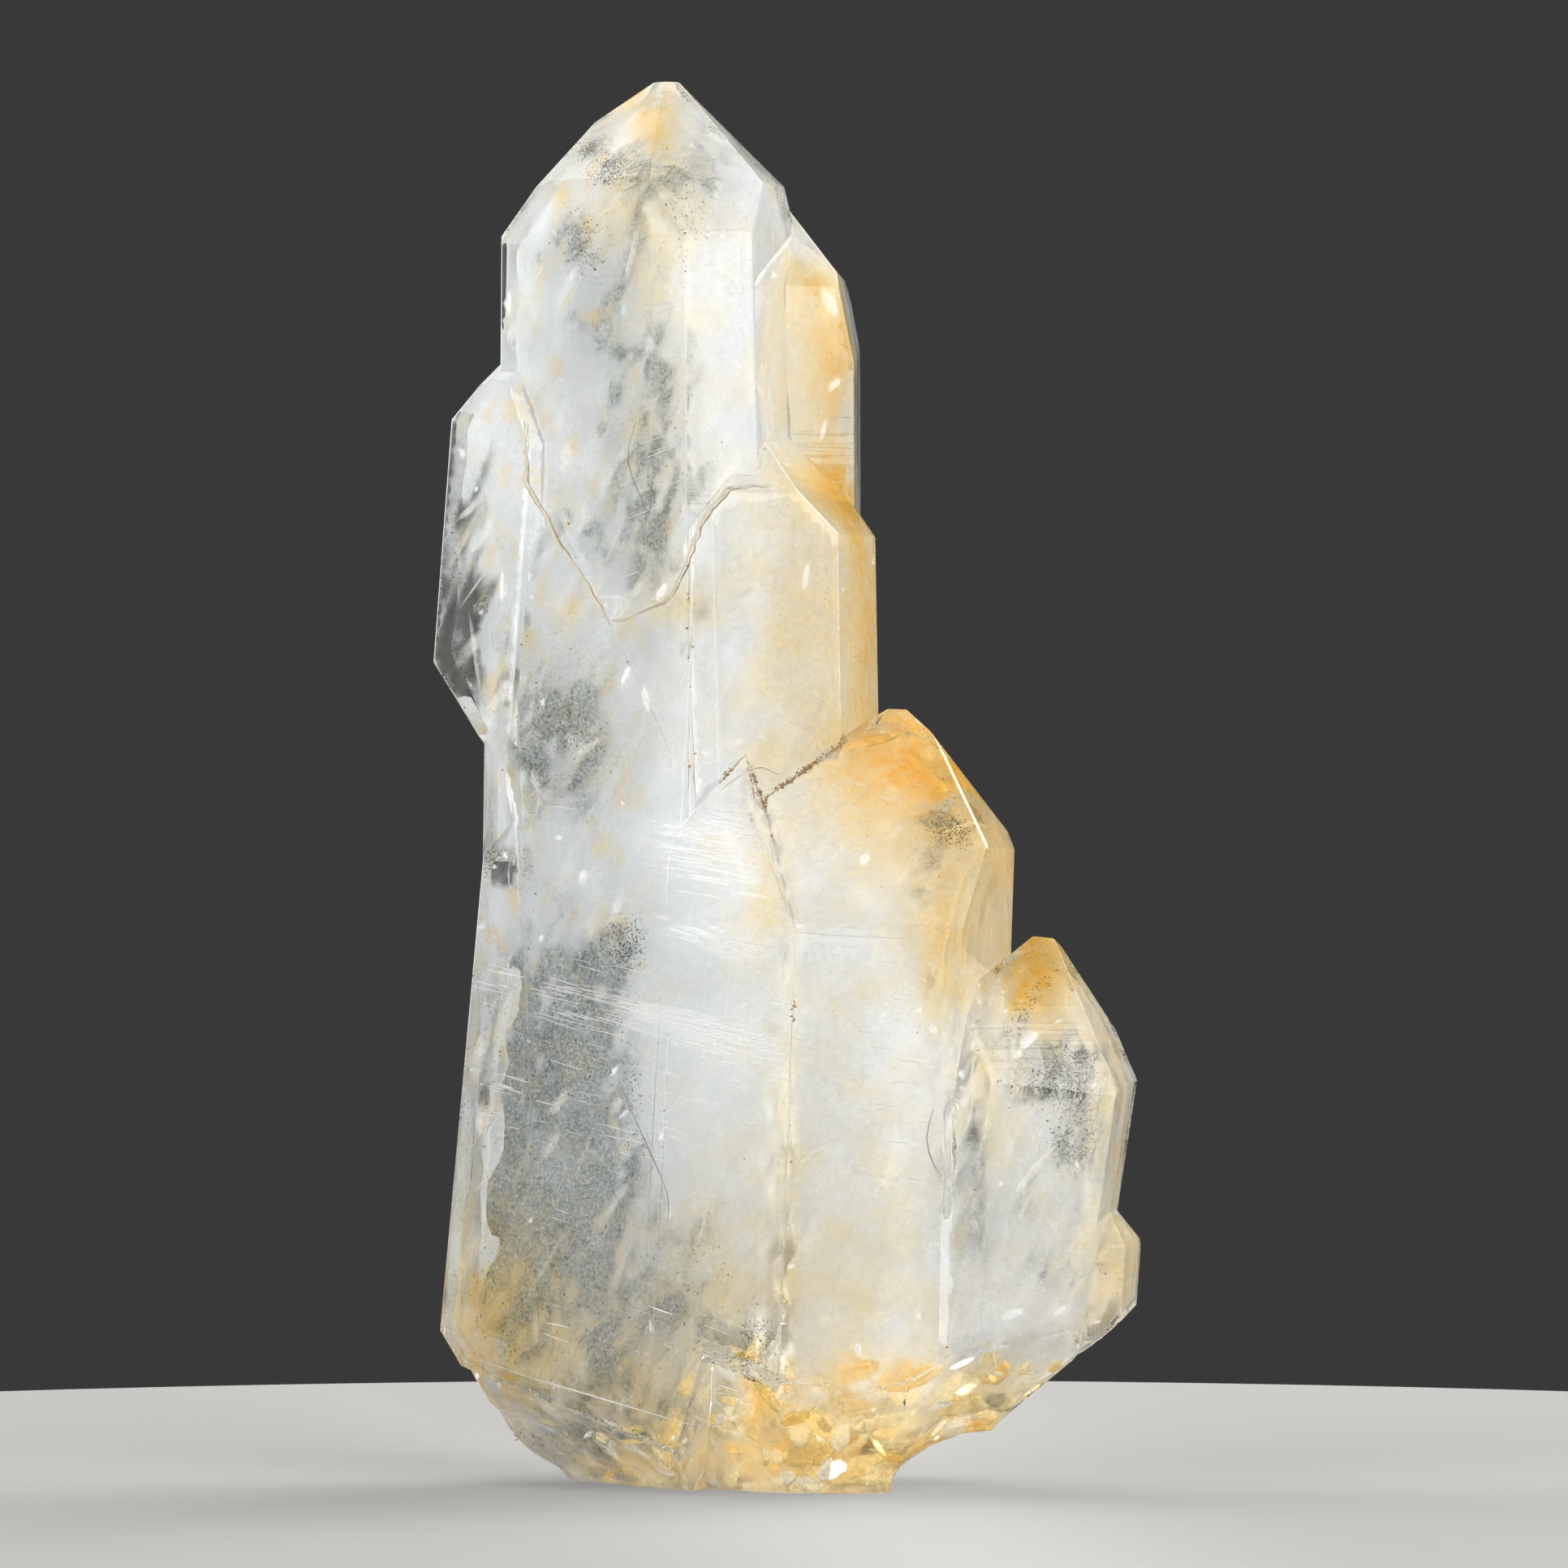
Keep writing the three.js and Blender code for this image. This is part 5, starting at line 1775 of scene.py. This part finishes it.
@dataclass
class Scratches:
    """Fine pale scratches, pale painted highlights along plate edges, and thin cracks at the surface of the front
    faces.
    """

    places: int = 7

    def build(self, effects: Effects) -> list[bpy.types.Object]:
        """Make the scratches with the painted highlight lines, and the cracks.

        Args:
            effects: Shared node groups.

        Returns:
            The pieces.
        """
        draw = np.random.default_rng(61)
        paths = np.concatenate([self.band(band, draw) for band in SCRATCH_BANDS])
        width = np.repeat(draw.uniform(0.014, 0.04, (len(paths), 1)), self.places, axis=1)
        turning = np.array(PLATE_EDGE_HIGHLIGHTS)
        lines = front_points(turning[..., 0].ravel(), turning[..., 1].ravel()).reshape(turning.shape[:2] + (3,))
        paths = np.concatenate([paths, lines + np.array([0.0, 0.03, 0.0])])
        width = np.concatenate([width, draw.uniform(0.02, 0.06, turning.shape[:2])])
        side = np.tile((0.0, -1.0, 0.0), (len(paths), 1))
        points, quads, triangles = ribbons(paths, side, width, width * 0.2, 4)
        mesh = mesh_from("scratches_and_painted_highlights", points, quads, triangles, smooth=False)
        add_colours(mesh, "tint", np.tile((0.99, 0.99, 0.99), (len(points), 1)))
        # White with a small glow: painted glints on the scratches, and painted highlights along the plate edges
        finish = SolidFinish("scratch_and_painted_highlight", 0.3, 0.04, 0.17).material(effects)
        scratches = new_object("scratches_and_painted_highlights", mesh, finish)
        turning = np.array(CRACKS)
        paths = front_points(turning[..., 0].ravel(), turning[..., 1].ravel()).reshape(turning.shape[:2] + (3,))
        paths = paths + np.array([0.0, 0.05, 0.0])
        width = draw.uniform(0.025, 0.06, paths.shape[:2])
        points, quads, triangles = ribbons(paths, np.tile((0.0, -1.0, 0.0), (len(paths), 1)), width, width, 5)
        mesh = mesh_from("thin_cracks", points, quads, triangles)
        add_colours(mesh, "tint", np.tile((0.3, 0.27, 0.18), (len(points), 1)))
        cracks = new_object("thin_cracks", mesh, SolidFinish("crack_fill", 0.3).material(effects))
        scratches.visible_shadow = cracks.visible_shadow = False
        return [scratches, cracks]

    def band(self, band: ScratchBand, draw: np.random.Generator) -> np.ndarray:
        """Straight paths on the face under one band; those that would leave the face are left out.

        Args:
            band: Band of scratches.
            draw: Random draws.

        Returns:
            Points by scratch and place along it.
        """
        share = draw.uniform(0.0, 1.0, (band.count, 1))
        middle = np.array(band.left) + share * (np.array(band.right) - np.array(band.left))
        middle[:, 1] += draw.normal(0.0, band.spread, band.count) * 0.7
        slope = np.radians(band.slope + draw.normal(0.0, 2.5, band.count))
        run = draw.uniform(*band.lengths, (band.count, 1)) * 0.5 * np.stack([np.cos(slope), np.sin(slope)], axis=1)
        first, last = middle - run, middle + run
        start, end = front_points(*first.T), front_points(*last.T)
        t = np.linspace(0.0, 1.0, self.places)[None, :, None]
        paths = start[:, None] + t * (end - start)[:, None]
        off = np.abs(depth_in_cluster(paths)).max(axis=1)
        return paths[off < 0.06] + np.array([0.0, 0.02, 0.0])


@dataclass(frozen=True)
class Lamp:
    """Square soft light: place and side in metres, power in watts, spread in degrees, and where it points."""

    name: str
    place: tuple[float, float, float]
    side: float
    power: float
    spread: float = 180.0
    aim: tuple[float, float, float] = (0.0, 0.0, 0.06)


LAMPS = (
    Lamp("key_left", (-0.53, -0.52, 0.22), 0.48, 2.6),
    Lamp("front_right", (0.42, -0.5, 0.385), 0.56, 2.25),
    Lamp("low_front", (0.1, -0.75, 0.02), 0.4, 1.3),
    Lamp("base_front", (0.05, -0.45, 0.045), 0.03, 0.012, 8.0, (0.006, -0.012, 0.006)),
    Lamp("top", (0.0, 0.05, 0.65), 0.5, 0.65),
    Lamp("side_left", (-0.6, 0.24, 0.25), 0.36, 1.4),
    Lamp("side_right", (0.62, 0.14, 0.2), 0.36, 1.3),
    Lamp("rear", (0.42, 0.4, 0.5), 0.42, 2.1),
    Lamp("rear_left", (-0.35, 0.42, 0.62), 0.5, 1.25),
)


@dataclass
class Studio:
    """Pale floor, soft lights and the camera at the photo's viewing angle."""

    floor_radius: float = 0.16
    floor_corners: int = 96
    floor_level: float = -0.00005
    camera_distance: float = 0.9
    view_height: float = 0.0597
    view_width: float = 0.13324
    photo_plane: float = -0.00177

    def build(self) -> None:
        """Make the floor, the lights, the world and the camera."""
        self.make_floor()
        self.make_lights()
        self.make_camera()

    def make_floor(self) -> None:
        """Round pale floor under the cluster."""
        rim = np.linspace(0.0, 2.0 * math.pi, self.floor_corners, endpoint=False)
        level = np.full(len(rim), self.floor_level)
        corners = np.stack([self.floor_radius * np.cos(rim), self.floor_radius * np.sin(rim), level], axis=1)
        mesh = bpy.data.meshes.new("floor")
        mesh.from_pydata(corners.tolist(), [], [list(range(len(rim)))])
        material = bpy.data.materials.new("pale_floor")
        material.use_nodes = True
        shader = material.node_tree.nodes["Principled BSDF"]
        shader.inputs["Base Color"].default_value = (0.62, 0.61, 0.59, 1.0)
        shader.inputs["Roughness"].default_value = 0.9
        shader.inputs["Specular IOR Level"].default_value = 0.0
        mesh.materials.append(material)
        floor = bpy.data.objects.new("floor", mesh)
        bpy.context.scene.collection.objects.link(floor)

    def make_lights(self) -> None:
        """Large soft lights round the cluster and a dim grey room."""
        for lamp in LAMPS:
            light = bpy.data.lights.new(lamp.name, "AREA")
            light.size = lamp.side
            light.energy = lamp.power
            light.spread = math.radians(lamp.spread)
            piece = bpy.data.objects.new(lamp.name, light)
            piece.location = lamp.place
            aim = Vector(lamp.aim) - Vector(lamp.place)
            piece.rotation_euler = aim.to_track_quat("-Z", "Y").to_euler()
            piece.visible_camera = False
            piece.visible_transmission = False
            bpy.context.scene.collection.objects.link(piece)
        world = bpy.data.worlds.new("grey_room")
        world.use_nodes = True
        world.node_tree.nodes["Background"].inputs["Color"].default_value = (0.04, 0.041, 0.04, 1.0)
        bpy.context.scene.world = world

    def make_camera(self) -> None:
        """Long lens straight in front of the cluster, level with its middle, and how far light is followed."""
        lens = bpy.data.cameras.new("photo_view")
        lens.sensor_width = 36.0
        lens.lens = lens.sensor_width * self.camera_distance / self.view_width
        lens.clip_start = 0.01
        camera = bpy.data.objects.new("photo_view", lens)
        camera.location = (0.0, self.photo_plane - self.camera_distance, self.view_height)
        camera.rotation_euler = (math.radians(90.0), 0.0, 0.0)
        bpy.context.scene.collection.objects.link(camera)
        scene = bpy.context.scene
        scene.camera = camera
        scene.view_settings.view_transform = "Standard"
        scene.cycles.max_bounces = 7
        scene.cycles.diffuse_bounces = 2
        scene.cycles.glossy_bounces = 6
        scene.cycles.transmission_bounces = 6
        scene.cycles.transparent_max_bounces = 10
        scene.cycles.adaptive_threshold = 0.05
        scene.cycles.caustics_reflective = False
        scene.cycles.caustics_refractive = False


def main() -> None:
    """Build the cluster's pieces in order and report each."""
    logging.basicConfig(level=logging.INFO, format="%(name)s: %(message)s")
    growth, effects = Growth(), Effects()
    skin = CrystalSkin()
    pieces = [skin.build(growth, effects)]
    pieces[0].visible_shadow = False
    pieces += Veils().build(DepthGrid(), growth, effects)
    pieces += SealedFilms().build(growth, effects)
    pieces += Dust().build(pieces[0], growth, effects)
    pieces += Seams().build(skin, growth, effects)
    pieces += Scratches().build(effects)
    for piece in pieces:
        LOG.info("%s: %d faces", piece.name, len(piece.data.polygons))
    Studio().build()


if __name__ == "__main__":
    main()
